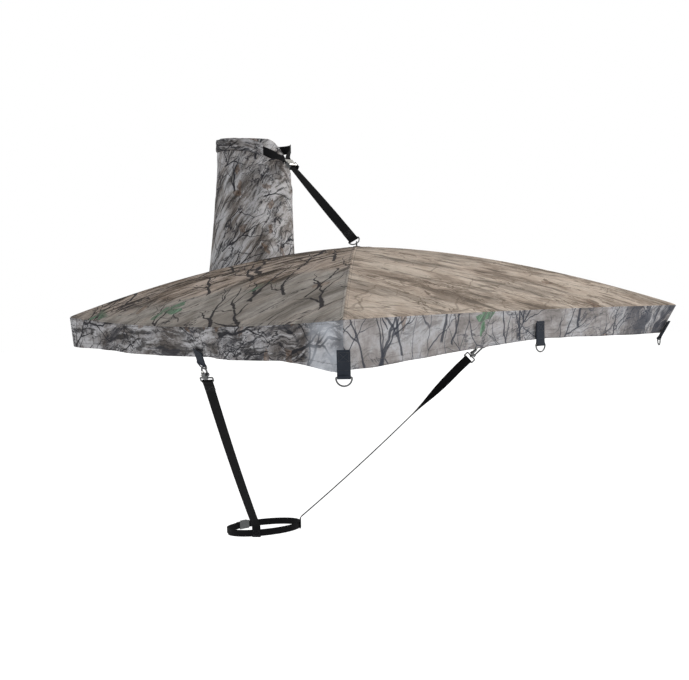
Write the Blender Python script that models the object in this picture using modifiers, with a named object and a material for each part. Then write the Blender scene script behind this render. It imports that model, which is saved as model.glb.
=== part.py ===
"""Camouflage canopy for a tree stand: an arched cloth roof strapped to a tree trunk.

The roof is four sewn gores with a drop valance, spread by four flexible poles that meet in a hub under
its top. A cloth sleeve wraps the trunk above the rear gore. One strap runs from a collar on the trunk to
an eye on the hub, and two straps run from a belt lower on the trunk to the middles of the roof's sides.

Metres, +Z up. The origin is on the trunk's axis, level with the roof's rim, and the roof reaches
forward along -Y.
"""
import math

import bmesh
import bpy
from mathutils import Matrix, Vector

# Driving dimensions
TRUNK_RADIUS = 0.105
HALF_WIDTH = 0.530
REAR_Y = 0.130
FRONT_Y = -1.055
APEX_RISE = 0.165
RIDGE_POWER = 1.65         # the poles bend evenly, so a ridge falls as this power of the way out
SLEEVE_TOP = 0.499
COLLAR_SLOPE = 0.068       # the strap pulls the sleeve's front edge down
BELT_Z = -0.644
BELT_SLOPE = -0.102        # the lower straps pull the belt's front edge up
ATTACH_ANGLE = math.radians(46)    # from the belt's front to each lower strap

CLOTH = 0.0010
GAP = 0.0004
WEBBING = 0.0016
WEBBING_WIDTH = 0.025
BELT_WIDTH = 0.020
CASING_HEIGHT = 0.036
POLE_RADIUS = 0.0040
POLE_DROP = 0.0078         # from the cloth's underside to a pole's centre line
RING_WIRE = 0.0016
RING_HALF_WIDTH = 0.0147
RING_DROP = 0.0160         # from a ring's straight bar to the far side of its bow
TAB_LENGTH = 0.050

SIDE_SAG = 0.0195          # the hooked sides are pulled down in the middle
FRONT_LIFT = 0.0035
VALANCE_DROP = {"front": 0.066, "left": 0.070, "right": 0.068, "rear": 0.068}
CORNER_DROP = 0.026        # extra drop at the front left corner
SIDE_PULL = 0.048          # how far the lower straps pull the side hems inwards
SIDE_PULL_Y = -0.480
CORNER_LEAN = {"front_left": 0.0, "front_right": 0.027, "rear_left": 0.006, "rear_right": 0.012}

APEX_Y = (REAR_Y + FRONT_Y) / 2
HALF_LENGTH = (REAR_Y - FRONT_Y) / 2
APEX = Vector((0, APEX_Y, APEX_RISE))
CORNERS = {
    "front_left": Vector((-HALF_WIDTH, FRONT_Y, 0)),
    "front_right": Vector((HALF_WIDTH, FRONT_Y, 0)),
    "rear_left": Vector((-HALF_WIDTH, REAR_Y, 0)),
    "rear_right": Vector((HALF_WIDTH, REAR_Y, 0)),
}
X, Y, Z = Vector((1, 0, 0)), Vector((0, 1, 0)), Vector((0, 0, 1))

for old in list(bpy.data.objects):
    bpy.data.objects.remove(old, do_unlink=True)

PARTS = bpy.data.collections.new("Tree stand canopy")
CUTTERS = bpy.data.collections.new("Cutters")
bpy.context.scene.collection.children.link(PARTS)
bpy.context.scene.collection.children.link(CUTTERS)


# --- Materials ---------------------------------------------------------------------------------

def make_material(name, color, roughness, metallic=0.0):
    material = bpy.data.materials.new(name)
    material.use_nodes = True
    shader = material.node_tree.nodes["Principled BSDF"]
    shader.inputs["Base Color"].default_value = (*color, 1)
    shader.inputs["Roughness"].default_value = roughness
    shader.inputs["Metallic"].default_value = metallic
    material.diffuse_color = (*color, 1)
    return material


ROOF_CLOTH = make_material("roof_cloth", (0.36, 0.29, 0.22), 0.85)
VALANCE_CLOTH = make_material("valance_cloth", (0.33, 0.31, 0.30), 0.85)
TAPE = make_material("seam_tape", (0.10, 0.09, 0.08), 0.8)
WEB = make_material("black_webbing", (0.015, 0.015, 0.017), 0.75)
TAB_WEB = make_material("charcoal_webbing", (0.030, 0.034, 0.042), 0.75)
STEEL = make_material("dark_nickel", (0.16, 0.17, 0.17), 0.35, 1.0)
LEVER_METAL = make_material("zinc_plate", (0.55, 0.55, 0.53), 0.4, 1.0)
PLASTIC = make_material("black_plastic", (0.02, 0.02, 0.02), 0.5)
FIBREGLASS = make_material("fibreglass", (0.03, 0.03, 0.03), 0.4)
HOOK_AND_LOOP = make_material("hook_and_loop", (0.05, 0.05, 0.045), 0.95)


# --- Building blocks ---------------------------------------------------------------------------

def add_part(name, data, material, matrix=None):
    part = bpy.data.objects.new(name, data)
    PARTS.objects.link(part)
    data.materials.clear()
    data.materials.append(material)
    if matrix is not None:
        part.matrix_world = matrix
    return part


def frame(origin, x_axis, z_axis):
    """A right-handed frame whose z axis is exact and whose x axis is as near x_axis as it can be."""
    z = z_axis.normalized()
    y = z.cross(x_axis).normalized()
    x = y.cross(z)
    rotation = Matrix((x, y, z)).transposed()
    return Matrix.Translation(origin) @ rotation.to_4x4()


def solidify(part, thickness, offset):
    shell = part.modifiers.new("Thickness", "SOLIDIFY")
    shell.thickness = thickness
    shell.offset = offset
    shell.use_even_offset = True


def sheet(name, columns, rows, place, thickness, offset, material):
    """An open grid with its points put by place(across, along), both from 0 to 1, then thickened."""
    mesh = bpy.data.meshes.new(name)
    grid = bmesh.new()
    bmesh.ops.create_grid(grid, x_segments=columns, y_segments=rows, size=1)
    for vert in grid.verts:
        across = round((vert.co.x + 1) / 2 * columns) / columns
        along = round((vert.co.y + 1) / 2 * rows) / rows
        vert.co = place(across, along)
    grid.to_mesh(mesh)
    grid.free()
    mesh.shade_smooth()
    part = add_part(name, mesh, material)
    solidify(part, thickness, offset)
    return part


def strap(name, route, material, thickness=WEBBING):
    """Flat webbing along a route of (centre, half-width vector) pairs."""
    rows = len(route) - 1

    def place(across, along):
        centre, half = route[round(along * rows)]
        return centre + half * (2 * across - 1)

    return sheet(name, 2, rows, place, thickness, 0, material)


def wire(name, points, radius, material, cyclic=False, matrix=None, resolution=2):
    curve = bpy.data.curves.new(name, "CURVE")
    curve.dimensions = "3D"
    curve.bevel_depth = radius
    curve.bevel_resolution = resolution
    curve.use_fill_caps = True
    spline = curve.splines.new("POLY")
    spline.points.add(len(points) - 1)
    for point, place in zip(spline.points, points):
        point.co = (*place, 1)
    spline.use_cyclic_u = cyclic
    spline.use_smooth = True
    return add_part(name, curve, material, matrix)


def as_mesh(part):
    """The same object as a mesh with welded caps, ready for a Boolean."""
    evaluated = part.evaluated_get(bpy.context.evaluated_depsgraph_get())
    mesh = bpy.data.meshes.new_from_object(evaluated)
    work = bmesh.new()
    work.from_mesh(mesh)
    bmesh.ops.remove_doubles(work, verts=work.verts, dist=1e-6)
    work.to_mesh(mesh)
    work.free()
    name = part.name
    material = part.data.materials[0]
    matrix = part.matrix_world.copy()
    bpy.data.objects.remove(part, do_unlink=True)
    return add_part(name, mesh, material, matrix)


def cylinder(name, radius, low, high, material, matrix=None, centre=(0, 0), sides=24):
    """A cylinder along the frame's z axis from low to high."""
    mesh = bpy.data.meshes.new(name)
    work = bmesh.new()
    move = Matrix.Translation((centre[0], centre[1], (low + high) / 2))
    bmesh.ops.create_cone(work, cap_ends=True, segments=sides, radius1=radius, radius2=radius,
                          depth=high - low, matrix=move)
    work.to_mesh(mesh)
    work.free()
    mesh.shade_smooth()
    mesh.set_sharp_from_angle(angle=math.radians(40))
    return add_part(name, mesh, material, matrix)


def box(name, low, high, material, matrix=None, bevel=0.0):
    mesh = bpy.data.meshes.new(name)
    work = bmesh.new()
    bmesh.ops.create_cube(work, size=1)
    low, high = Vector(low), Vector(high)
    for vert in work.verts:
        vert.co = (low + high) / 2 + vert.co * (high - low)
    work.to_mesh(mesh)
    work.free()
    part = add_part(name, mesh, material, matrix)
    if bevel:
        edge = part.modifiers.new("Edges", "BEVEL")
        edge.width = bevel
        edge.segments = 2
    return part


def turned(name, profile, material, matrix=None, steps=24):
    """A profile of (radius, height) points, outer side first from top to bottom, turned about z."""
    mesh = bpy.data.meshes.new(name)
    work = bmesh.new()
    verts = [work.verts.new((radius, 0, height)) for radius, height in profile]
    for first, second in zip(verts, verts[1:]):
        work.edges.new((first, second))
    work.to_mesh(mesh)
    work.free()
    part = add_part(name, mesh, material, matrix)
    screw = part.modifiers.new("Turn", "SCREW")
    screw.steps = steps
    screw.render_steps = steps
    screw.use_merge_vertices = True
    screw.merge_threshold = 0.00001
    screw.use_smooth_shade = True
    return part


def tube_profile(outer, inner, low, high):
    """A closed profile of a plain ring or sleeve."""
    return [(outer, high), (outer, low), (inner, low), (inner, high), (outer, high)]


def combine(part, other, operation):
    """Add or subtract another mesh, which stays as a hidden cutter."""
    boolean = part.modifiers.new(other.name, "BOOLEAN")
    boolean.operation = operation
    boolean.solver = "EXACT"
    boolean.object = other
    other.hide_render = True
    other.display_type = "WIRE"
    PARTS.objects.unlink(other)
    CUTTERS.objects.link(other)


def cut(part, other):
    combine(part, other, "DIFFERENCE")


def join(part, other):
    combine(part, other, "UNION")


# --- The roof's shape --------------------------------------------------------------------------

def roof_height(x, y):
    """Height of the cloth's underside above the rim at a place in plan."""
    across = x / HALF_WIDTH
    along = (y - APEX_Y) / HALF_LENGTH
    out = max(abs(across), abs(along))
    height = APEX_RISE * (1 - out ** RIDGE_POWER)
    if out > 1e-6:
        if abs(across) >= abs(along):
            height -= SIDE_SAG * (1 - (along / out) ** 2) * out ** 3
        elif along < 0:
            height += FRONT_LIFT * (1 - (across / out) ** 2) * out ** 3
    return height


def ridge_height(out):
    return APEX_RISE * (1 - abs(out) ** RIDGE_POWER)


def falloff(distance, reach):
    return math.exp(-(distance / reach) ** 2)


def hanging_point(side, x, y, down):
    """A point of the valance: down goes from 0 at the rim to 1 at the hem."""
    edge = Vector((x, y, 0))
    to_front_left = (edge - CORNERS["front_left"]).length
    reach = {"front": 0.30, "left": 0.12}.get(side)
    drop = VALANCE_DROP[side]
    if reach:
        drop += CORNER_DROP * falloff(to_front_left, reach)
    if side in ("left", "rear"):
        drop += 0.009 * falloff((edge - CORNERS["rear_left"]).length, 0.14)
    point = Vector((x, y, roof_height(x, y) - GAP - down * drop))
    for name, corner in CORNERS.items():
        lean = CORNER_LEAN[name] * down * falloff((edge - corner).length, 0.10)
        point.x -= math.copysign(lean, corner.x)
        point.y -= math.copysign(lean, corner.y)
    if side in ("left", "right"):
        pull = SIDE_PULL * down * falloff(y - SIDE_PULL_Y, 0.13)
        point.x += pull if side == "left" else -pull
    return point


def make_gore(side, first, second, shift):
    """One gore from the apex to the rim between two corners, moved out by half a seam's gap."""
    inner = 0.03

    def place(across, along):
        out = inner + (1 - inner) * along
        rim = CORNERS[first].lerp(CORNERS[second], across)
        x = rim.x * out
        y = APEX_Y + (rim.y - APEX_Y) * out
        return Vector((x, y, roof_height(x, y))) + shift * 0.0003

    return sheet("gore_" + side, 12, 12, place, CLOTH, 1, ROOF_CLOTH)


def make_valance(name, side, start, end, columns):
    """A drop strip along the rim from start to end, both just short of the corners."""

    def place(across, down):
        edge = start.lerp(end, across)
        return hanging_point(side, edge.x, edge.y, down)

    return sheet(name, columns, 3, place, CLOTH, 1, VALANCE_CLOTH)


def make_roof():
    make_gore("front", "front_right", "front_left", -Y)
    make_gore("left", "front_left", "rear_left", -X)
    make_gore("right", "rear_right", "front_right", X)
    rear = make_gore("rear", "rear_left", "rear_right", Y)
    cut(rear, cylinder("trunk_hole", 0.1085, -0.05, 0.20, ROOF_CLOTH, sides=48))
    cut(rear, box("rear_slit", (-0.001, 0.10, -0.05), (0.001, 0.16, 0.10), ROOF_CLOTH))

    inset = 0.0006
    left, right = -HALF_WIDTH, HALF_WIDTH
    make_valance("valance_front", "front", Vector((right - inset, FRONT_Y, 0)),
                 Vector((left + inset, FRONT_Y, 0)), 24)
    make_valance("valance_left", "left", Vector((left, FRONT_Y + inset, 0)),
                 Vector((left, REAR_Y - inset, 0)), 24)
    make_valance("valance_right", "right", Vector((right, REAR_Y - inset, 0)),
                 Vector((right, FRONT_Y + inset, 0)), 24)
    make_valance("valance_rear_left", "rear", Vector((left + inset, REAR_Y, 0)),
                 Vector((-0.001, REAR_Y, 0)), 12)
    make_valance("valance_rear_right", "rear", Vector((0.001, REAR_Y, 0)),
                 Vector((right - inset, REAR_Y, 0)), 12)

    def closure(across, down):
        return Vector((0.044 * across - 0.022, REAR_Y + CLOTH + GAP, -0.004 - 0.062 * down))

    sheet("rear_closure", 2, 2, closure, 0.0014, 1, HOOK_AND_LOOP)


def make_ridge_tapes():
    """A folded tape under each ridge seam."""
    inner, outer = 0.075, 0.90
    half = 0.010
    for name, corner in CORNERS.items():
        along_ridge = (corner - Vector((0, APEX_Y, 0))).normalized()
        sideways = Vector((-along_ridge.y, along_ridge.x, 0))

        def place(across, along):
            out = inner + (outer - inner) * along
            on_ridge = Vector((0, APEX_Y, 0)).lerp(corner, out)
            flat = on_ridge + sideways * half * (2 * across - 1)
            flat.z = roof_height(flat.x, flat.y) - GAP - 0.0002
            return flat

        sheet("ridge_tape_" + name, 2, 12, place, 0.0008, 1, TAPE)


# --- Poles -------------------------------------------------------------------------------------

HUB_RADIUS = 0.024
POLE_START = 0.009         # a pole's inner end, from the roof's middle
POLE_END = 0.955           # a pole's outer end, as a share of the way to the corner
LEVEL_END = 0.045          # a pole runs level through the hub until here


def pole_point(corner, out):
    """A point on the pole that runs from the hub (out = 0) towards a corner (out = 1)."""
    plan = Vector((0, APEX_Y, 0)).lerp(CORNERS[corner], out)
    return Vector((plan.x, plan.y, ridge_height(max(out, LEVEL_END)) - POLE_DROP))


def make_poles():
    """Four poles plugged into a hub under the apex, with their ends in pockets at the corners."""
    samples = 12
    for name, corner in CORNERS.items():
        length = (corner - Vector((0, APEX_Y, 0))).length
        start = POLE_START / length
        points = [pole_point(name, start)]
        for k in range(samples + 1):
            points.append(pole_point(name, LEVEL_END + (POLE_END - LEVEL_END) * k / samples))
        wire("pole_" + name, points, POLE_RADIUS, FIBREGLASS)
        tip = pole_point(name, POLE_END)
        spot = frame(tip, Z, tip - pole_point(name, POLE_END - 0.01))
        cup = [(0, 0.0025), (0.0062, 0.0025), (0.0062, -0.030), (0.0050, -0.030),
               (0.0050, 0.0008), (0, 0.0008)]
        turned("corner_pocket_" + name, cup, WEB, spot, 16)

    at_apex = Matrix.Translation((0, APEX_Y, 0))
    middle = ridge_height(LEVEL_END) - POLE_DROP
    hub = cylinder("frame_hub", HUB_RADIUS, middle - 0.0065, middle + 0.0065, PLASTIC, at_apex, sides=32)
    edge = hub.modifiers.new("Edges", "BEVEL")
    edge.width = 0.0015
    edge.segments = 2
    edge.limit_method = "ANGLE"
    for name, corner in CORNERS.items():
        socket = frame(Vector((0, APEX_Y, middle)), Z, corner - Vector((0, APEX_Y, 0)))
        cut(hub, cylinder(name + "_socket", 0.0044, POLE_START - 0.0005, 0.03, PLASTIC, socket, sides=16))
    cut(hub, cylinder("thread_bore", 0.0026, middle - 0.0045, 0.17, PLASTIC, at_apex, sides=16))


# --- Fittings at the apex ----------------------------------------------------------------------

EYE_RADIUS = 0.0050
EYE_WIRE = 0.0014
PATCH_Z = APEX_RISE + CLOTH + 0.0006
WASHER_Z = PATCH_Z + 0.0012 + GAP
EYE = Vector((0, APEX_Y, WASHER_Z + 0.0012 + GAP + EYE_RADIUS + EYE_WIRE))
EYE_HOLE_AXIS = Vector((0.84, -0.54, 0))      # turned to face the suspension ring's wire
SUSPENSION_TWIST = math.radians(-40)


def make_apex_fittings():
    def patch(across, along):
        x = 0.028 * (2 * across - 1)
        y = APEX_Y + 0.028 * (2 * along - 1)
        return Vector((x, y, roof_height(x, y) + CLOTH + 0.0006))

    cloth_patch = sheet("apex_patch", 4, 4, patch, 0.0012, 1, ROOF_CLOTH)
    at_apex = Matrix.Translation((0, APEX_Y, 0))
    cut(cloth_patch, cylinder("patch_hole", 0.0030, 0.10, 0.20, ROOF_CLOTH, at_apex))

    turned("eye_washer", tube_profile(0.0090, 0.0027, WASHER_Z, WASHER_Z + 0.0012), STEEL, at_apex)

    turn = frame(EYE, Z, EYE_HOLE_AXIS)
    count = 20
    circle = [(EYE_RADIUS * math.cos(math.tau * k / count), EYE_RADIUS * math.sin(math.tau * k / count), 0)
              for k in range(count)]
    eye = as_mesh(wire("eye_bolt", circle, EYE_WIRE, STEEL, True, turn))
    low = ridge_height(LEVEL_END) - POLE_DROP - 0.0035
    join(eye, cylinder("eye_shank", 0.0022, low, EYE.z - EYE_RADIUS, STEEL, at_apex, sides=16))


# --- Webbing tabs and D-rings ------------------------------------------------------------------

def ring_outline():
    """A D: a straight bar along x, round corners, short legs and a half-ellipse bow towards -z."""
    corner = 0.0015
    points = []
    for k in range(3):
        turn = math.radians(90 - 45 * k)
        points.append((RING_HALF_WIDTH - corner + corner * math.cos(turn), 0,
                       -corner + corner * math.sin(turn)))
    bow = RING_DROP - corner
    for k in range(1, 12):
        turn = math.pi * k / 12
        points.append((RING_HALF_WIDTH * math.cos(turn), 0, -corner - bow * math.sin(turn)))
    for k in range(3):
        turn = math.radians(180 - 45 * k)
        points.append((-RING_HALF_WIDTH + corner + corner * math.cos(turn), 0,
                       -corner + corner * math.sin(turn)))
    return points


def make_ring(name, bar_centre, bar_axis, up):
    """A D-ring whose origin is on its bar, the axis that it swings about."""
    return wire(name, ring_outline(), RING_WIRE, STEEL, True, frame(bar_centre, bar_axis, up))


def folded_end(bar_centre, up, outward, bar_radius, long_ply, short_ply, half):
    """Webbing that comes down, goes round a bar and comes back up behind itself."""
    loop = bar_radius + 0.00035 + WEBBING / 2
    apart = WEBBING / 2 + 0.0002
    route = []
    for k in range(5):
        height = long_ply + (2.6 * loop - long_ply) * k / 4
        route.append((bar_centre + outward * apart + up * height, half))
    for k in range(11):
        turn = math.radians(50 - 28 * k)
        route.append((bar_centre + outward * loop * math.cos(turn) + up * loop * math.sin(turn), half))
    for k in range(5):
        height = 2.6 * loop + (short_ply - 2.6 * loop) * k / 4
        route.append((bar_centre - outward * apart + up * height, half))
    return route


def make_tab(place, bar_centre, up, outward, ring_up=None):
    """A sewn tab folded round a D-ring's bar, and the ring, which hangs down unless it is hooked."""
    bar_axis = up.cross(outward).normalized()
    half = bar_axis * WEBBING_WIDTH / 2
    route = folded_end(bar_centre, up, outward, RING_WIRE, TAB_LENGTH, TAB_LENGTH - 0.004, half)
    strap("tab_" + place, route, TAB_WEB)
    make_ring("ring_" + place, bar_centre, bar_axis, ring_up or Z)


# --- Side straps, snap hooks and belt ----------------------------------------------------------

BELT_RADIUS = TRUNK_RADIUS + 0.0025        # the belt's centre line
SIDE_RING = Vector((-0.474, -0.4625, -0.1075))     # the left hooked ring's bar
HOOK_FROM_RING = RING_DROP + 0.0333        # from a ring's bar to the hook's swivel
EYE_BAR = 0.0160                           # from the swivel to the eye's strap bar


def belt_height(y):
    return BELT_Z + BELT_SLOPE * y


def belt_point(angle, radius):
    """A point round the belt, with the angle measured from the front towards +X."""
    x, y = radius * math.sin(angle), -radius * math.cos(angle)
    return Vector((x, y, belt_height(y)))


class SideLine:
    """The straight line from a hooked ring down to the belt, on the left (-1) or the right (1)."""

    def __init__(self, side):
        self.side = side
        self.ring = Vector((-side * SIDE_RING.x, SIDE_RING.y, SIDE_RING.z))
        self.attach = belt_point(side * ATTACH_ANGLE, BELT_RADIUS + 0.0040)
        self.attach.z += 0.022
        self.down = (self.attach - self.ring).normalized()
        self.bar = (Y - self.down * Y.dot(self.down)).normalized()
        self.outward = self.bar.cross(-self.down) * (1 if side > 0 else -1)
        if self.outward.x * side < 0:
            self.outward = -self.outward
        self.tangent = Vector((math.cos(ATTACH_ANGLE), side * math.sin(ATTACH_ANGLE), 0))
        self.swivel = self.ring + self.down * HOOK_FROM_RING
        self.eye_bar = self.swivel + self.down * EYE_BAR
        across = self.tangent - self.down * self.tangent.dot(self.down)
        turn = 0 if side < 0 else math.radians(-86)
        self.eye_across = Matrix.Rotation(turn, 3, self.down) @ across.normalized()


def make_hook(label, line):
    """A swivel snap hook. Its frame has z towards the ring and the bow's wire in the xz plane."""
    place = frame(line.swivel, line.bar.cross(-line.down), -line.down)
    body = box(f"hook_{label}_body", (-0.0092, -0.0042, 0.0004), (0.0088, 0.0042, 0.0084), STEEL,
               place, 0.0014)
    bow = []
    for k in range(7):
        bow.append((0.0065, 0, 0.0060 + 0.0260 * k / 6))
    for k in range(1, 13):
        turn = math.pi * k / 12
        bow.append((0.00075 + 0.00575 * math.cos(turn), 0, 0.0320 + 0.00575 * math.sin(turn)))
    bow.append((-0.0050, 0, 0.0301))
    join(body, as_mesh(wire(f"hook_{label}_bow", bow, 0.0023, STEEL, matrix=place)))
    join(body, cylinder(f"hook_{label}_barrel", 0.0042, 0.0070, 0.0220, STEEL, place, (-0.005, 0)))
    join(body, cylinder(f"hook_{label}_stem", 0.0021, -0.0060, 0.0020, STEEL, place, sides=16))
    join(body, cylinder(f"hook_{label}_head", 0.0036, -0.0068, -0.0051, STEEL, place, sides=16))
    cut(body, cylinder(f"hook_{label}_bore", 0.0026, 0.0045, 0.0230, STEEL, place, (-0.005, 0)))
    cut(body, box(f"hook_{label}_slot", (-0.0110, -0.0014, 0.0092), (-0.0050, 0.0014, 0.0190), STEEL,
                  place))

    gate = cylinder(f"hook_{label}_gate", 0.0022, 0.0142, 0.0297, STEEL, place, (-0.005, 0), 16)
    sideways = place @ Matrix.Translation((-0.005, 0, 0.0176)) @ Matrix.Rotation(-math.pi / 2, 4, "Y")
    join(gate, cylinder(f"hook_{label}_stud", 0.0010, 0.0, 0.0062, STEEL, sideways, sides=12))
    join(gate, cylinder(f"hook_{label}_thumb", 0.0021, 0.0052, 0.0075, STEEL, sideways, sides=16))

    eye_place = frame(line.swivel, line.eye_across, -line.down)
    half, high, low = 0.0150, -0.0026, -EYE_BAR
    corner = 0.0022
    outline = []
    for centre_x, centre_z, start in ((half - corner, high - corner, 90), (half - corner, low + corner, 0),
                                      (-half + corner, low + corner, -90),
                                      (-half + corner, high - corner, -180)):
        for k in range(4):
            turn = math.radians(start - 30 * k)
            outline.append((centre_x + corner * math.cos(turn), 0, centre_z + corner * math.sin(turn)))
    eye = as_mesh(wire(f"hook_{label}_eye", outline, 0.0019, STEEL, True, eye_place))
    join(eye, cylinder(f"hook_{label}_boss", 0.0050, -0.0046, 0.0, STEEL, eye_place))
    cut(eye, cylinder(f"hook_{label}_boss_bore", 0.0025, -0.0060, 0.0010, STEEL, eye_place, sides=16))


def make_side_strap(label, line):
    """Webbing from the hook's eye to a lap sewn on the belt, twisting on the way."""
    up = -line.down
    half_top = line.eye_across * WEBBING_WIDTH / 2
    outward = line.eye_across.cross(up)
    if outward.dot(line.outward) < 0:
        outward = -outward
    loop = folded_end(line.eye_bar, -up, outward, 0.0019, 0.040, 0.036, half_top)
    loop.reverse()
    start = loop[-1][0]
    lap_top = belt_point(line.side * ATTACH_ANGLE, BELT_RADIUS + 0.0022)
    lap_top.z += 0.016
    flat = (line.tangent - line.down * line.tangent.dot(line.down)).normalized()
    route = list(loop)
    rows = 20
    end = line.attach
    sag = Vector((0, 0, -0.010))
    for k in range(1, rows + 1):
        way = k / rows
        centre = start.lerp(end, way) + sag * 4 * way * (1 - way)
        twist = min(way / (0.3 if line.side > 0 else 1), 1)
        twist = twist * twist * (3 - 2 * twist)
        half = line.eye_across.slerp(flat, twist) if line.side > 0 else flat
        route.append((centre, half.normalized() * WEBBING_WIDTH / 2))
    for drop in (0.012, 0.026, 0.040):
        centre = lap_top - Z * drop + Z * 0.012
        route.append((centre, line.tangent * WEBBING_WIDTH / 2))
    strap(f"strap_{label}", route, WEB)


def make_belt():
    """Webbing round the trunk, through the buckle behind it, with its tail lapped outside."""
    rise = Vector((0, -BELT_SLOPE, 1)).normalized()
    half = Z * BELT_WIDTH / 2
    route = []
    edge = 0.024 / BELT_RADIUS
    count = 40
    for k in range(count + 1):
        angle = -math.pi + edge + (2 * math.pi - 2 * edge) * k / count
        route.append((belt_point(angle, BELT_RADIUS), half))
    through_y = BUCKLE_BASE_Y + 0.0019
    for x in (0.0185, 0.0, -0.0185):
        route.append((Vector((x, through_y, belt_height(through_y))), half))
    for k in range(6):
        angle = -math.pi + 0.24 + 0.12 * k
        route.append((belt_point(angle, BELT_RADIUS + 0.0040), half))
    strap("belt", route, WEB)


# --- Cam buckles -------------------------------------------------------------------------------

BUCKLE_BASE_Y = TRUNK_RADIUS + 0.0013
PIN_HEIGHT = 0.0073
COLLAR_BUCKLE = Vector((0, -0.186, 0.405))
STRAP_FALL = math.radians(39.5)


def buckle_frames():
    """Frames with x across the webbing, y along the pull and z away from the base plate."""
    pull = Vector((0, -math.cos(STRAP_FALL), -math.sin(STRAP_FALL)))
    normal = Vector((0, -math.sin(STRAP_FALL), math.cos(STRAP_FALL)))
    collar = Matrix((pull.cross(normal), pull, normal)).transposed().to_4x4()
    collar = Matrix.Translation(COLLAR_BUCKLE) @ collar
    behind = Vector((0, BUCKLE_BASE_Y, belt_height(BUCKLE_BASE_Y)))
    belt = Matrix.Translation(behind) @ Matrix((Z, X, Y)).transposed().to_4x4()
    return {"collar": (collar, WEBBING_WIDTH), "belt": (belt, BELT_WIDTH)}


def make_buckle(label, place, webbing_width):
    half = webbing_width / 2 + 0.0010
    wall = 0.0015
    body = box(f"{label}_buckle_body", (-half - wall, -0.017, -0.00075), (half + wall, 0.017, 0.00075),
               STEEL, place)
    for sign in (-1, 1):
        inner, outer = sorted((sign * half, sign * (half + wall)))
        join(body, box(f"{label}_wall_{sign}", (inner, -0.011, -0.0005), (outer, 0.013, 0.0105), STEEL,
                       place))
    turn = place @ Matrix.Translation((0, 0, PIN_HEIGHT)) @ Matrix.Rotation(math.pi / 2, 4, "Y")
    cut(body, cylinder(f"{label}_pin_hole", 0.0021, -0.03, 0.03, STEEL, turn, sides=16))

    half_lever = half - 0.0006
    lever = cylinder(f"{label}_buckle_lever", 0.0042, -half_lever, half_lever, LEVER_METAL, turn)
    join(lever, box(f"{label}_thumb", (0.0012, -0.024, -half_lever), (0.0030, 0.0, half_lever),
                    LEVER_METAL, turn @ Matrix.Rotation(math.radians(-8), 4, "Z")))
    cut(lever, cylinder(f"{label}_lever_bore", 0.0021, -0.03, 0.03, STEEL, turn, sides=16))
    cylinder(f"{label}_buckle_pin", 0.0018, -half - wall - 0.0008, half + wall + 0.0008, STEEL,
             turn, sides=16)


# --- Collar, suspension strap and sleeve -------------------------------------------------------

COLLAR_RADIUS = TRUNK_RADIUS + 0.0035
RUN_END = 0.1715
LEAVE_ANGLE = math.acos(COLLAR_RADIUS / RUN_END)
COLLAR_Z = SLEEVE_TOP - CASING_HEIGHT / 2
RUN_LENGTH = RUN_END * math.sin(LEAVE_ANGLE)


def collar_height(y):
    return COLLAR_Z + COLLAR_SLOPE * y


def collar_route(radius, run, rows):
    """Centres round the trunk from one front run to the other, and each one's way along its run."""
    places = []
    for side in (-1, 1):
        leaving = Vector((side * radius * math.sin(LEAVE_ANGLE), -radius * math.cos(LEAVE_ANGLE), 0))
        heading = Vector((-side * math.cos(LEAVE_ANGLE), -math.sin(LEAVE_ANGLE), 0))
        steps = [(leaving + heading * run * k / rows, run * k / rows / RUN_LENGTH)
                 for k in range(rows, 0, -1)]
        if side < 0:
            places += steps
            sweep = 2 * (math.pi - LEAVE_ANGLE)
            for k in range(37):
                angle = -LEAVE_ANGLE - sweep * k / 36
                places.append((Vector((radius * math.sin(angle), -radius * math.cos(angle), 0)), 0))
        else:
            places += reversed(steps)
    return places


def collar_level(centre, way):
    """The strap's height: level round the trunk, and falling along its run to the buckle."""
    if way == 0:
        return collar_height(centre.y)
    leave = collar_height(-COLLAR_RADIUS * math.cos(LEAVE_ANGLE))
    normal = Vector((0, -math.sin(STRAP_FALL), math.cos(STRAP_FALL)))
    tail = COLLAR_BUCKLE + Vector((0, math.cos(STRAP_FALL), math.sin(STRAP_FALL))) * 0.019
    goal = tail + normal * (0.0019 if centre.x < 0 else -0.0026)
    return leave + (goal.z - leave) * way ** 1.3


def make_collar():
    run = RUN_LENGTH - 0.003
    route = []
    for centre, way in collar_route(COLLAR_RADIUS, run, 20):
        centre = Vector((centre.x, centre.y, collar_level(centre, way)))
        turn = min(max((way - 0.47) / 0.45, 0), 1)
        turn = turn * turn * (3 - 2 * turn) * math.pi / 2
        side = -1 if centre.x < 0 else 1
        across = Z * math.cos(turn) - X * side * math.sin(turn)
        route.append((centre, across * WEBBING_WIDTH / 2))
    strap("collar_strap", route, WEB)


def make_suspension():
    collar, _ = buckle_frames()["collar"]
    leave = collar @ Vector((0, 0.020, 0.0019))
    rise = (leave - EYE).normalized()
    bar_centre = EYE + rise * (RING_DROP + 0.0006)
    bar_axis = Matrix.Rotation(SUSPENSION_TWIST, 3, rise) @ X
    make_ring("apex_ring", bar_centre, bar_axis, rise)

    outward = rise.cross(bar_axis)
    if outward.z < 0:
        outward = -outward
    half = bar_axis * WEBBING_WIDTH / 2
    loop = folded_end(bar_centre, rise, outward, RING_WIRE, 0.040, 0.036, half)
    loop.reverse()
    route = list(loop)
    start = loop[-1][0]
    rows = 16
    for k in range(1, rows + 1):
        way = k / rows
        turn = min(max((way - 0.25) / 0.75, 0), 1)
        across = bar_axis.slerp(X, turn)
        route.append((start.lerp(leave, way), across.normalized() * WEBBING_WIDTH / 2))
    for along in (0.010, 0.0, -0.010, -0.016):
        route.append((collar @ Vector((0, along, 0.0019)), X * WEBBING_WIDTH / 2))
    strap("suspension_strap", route, WEB)


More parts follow.
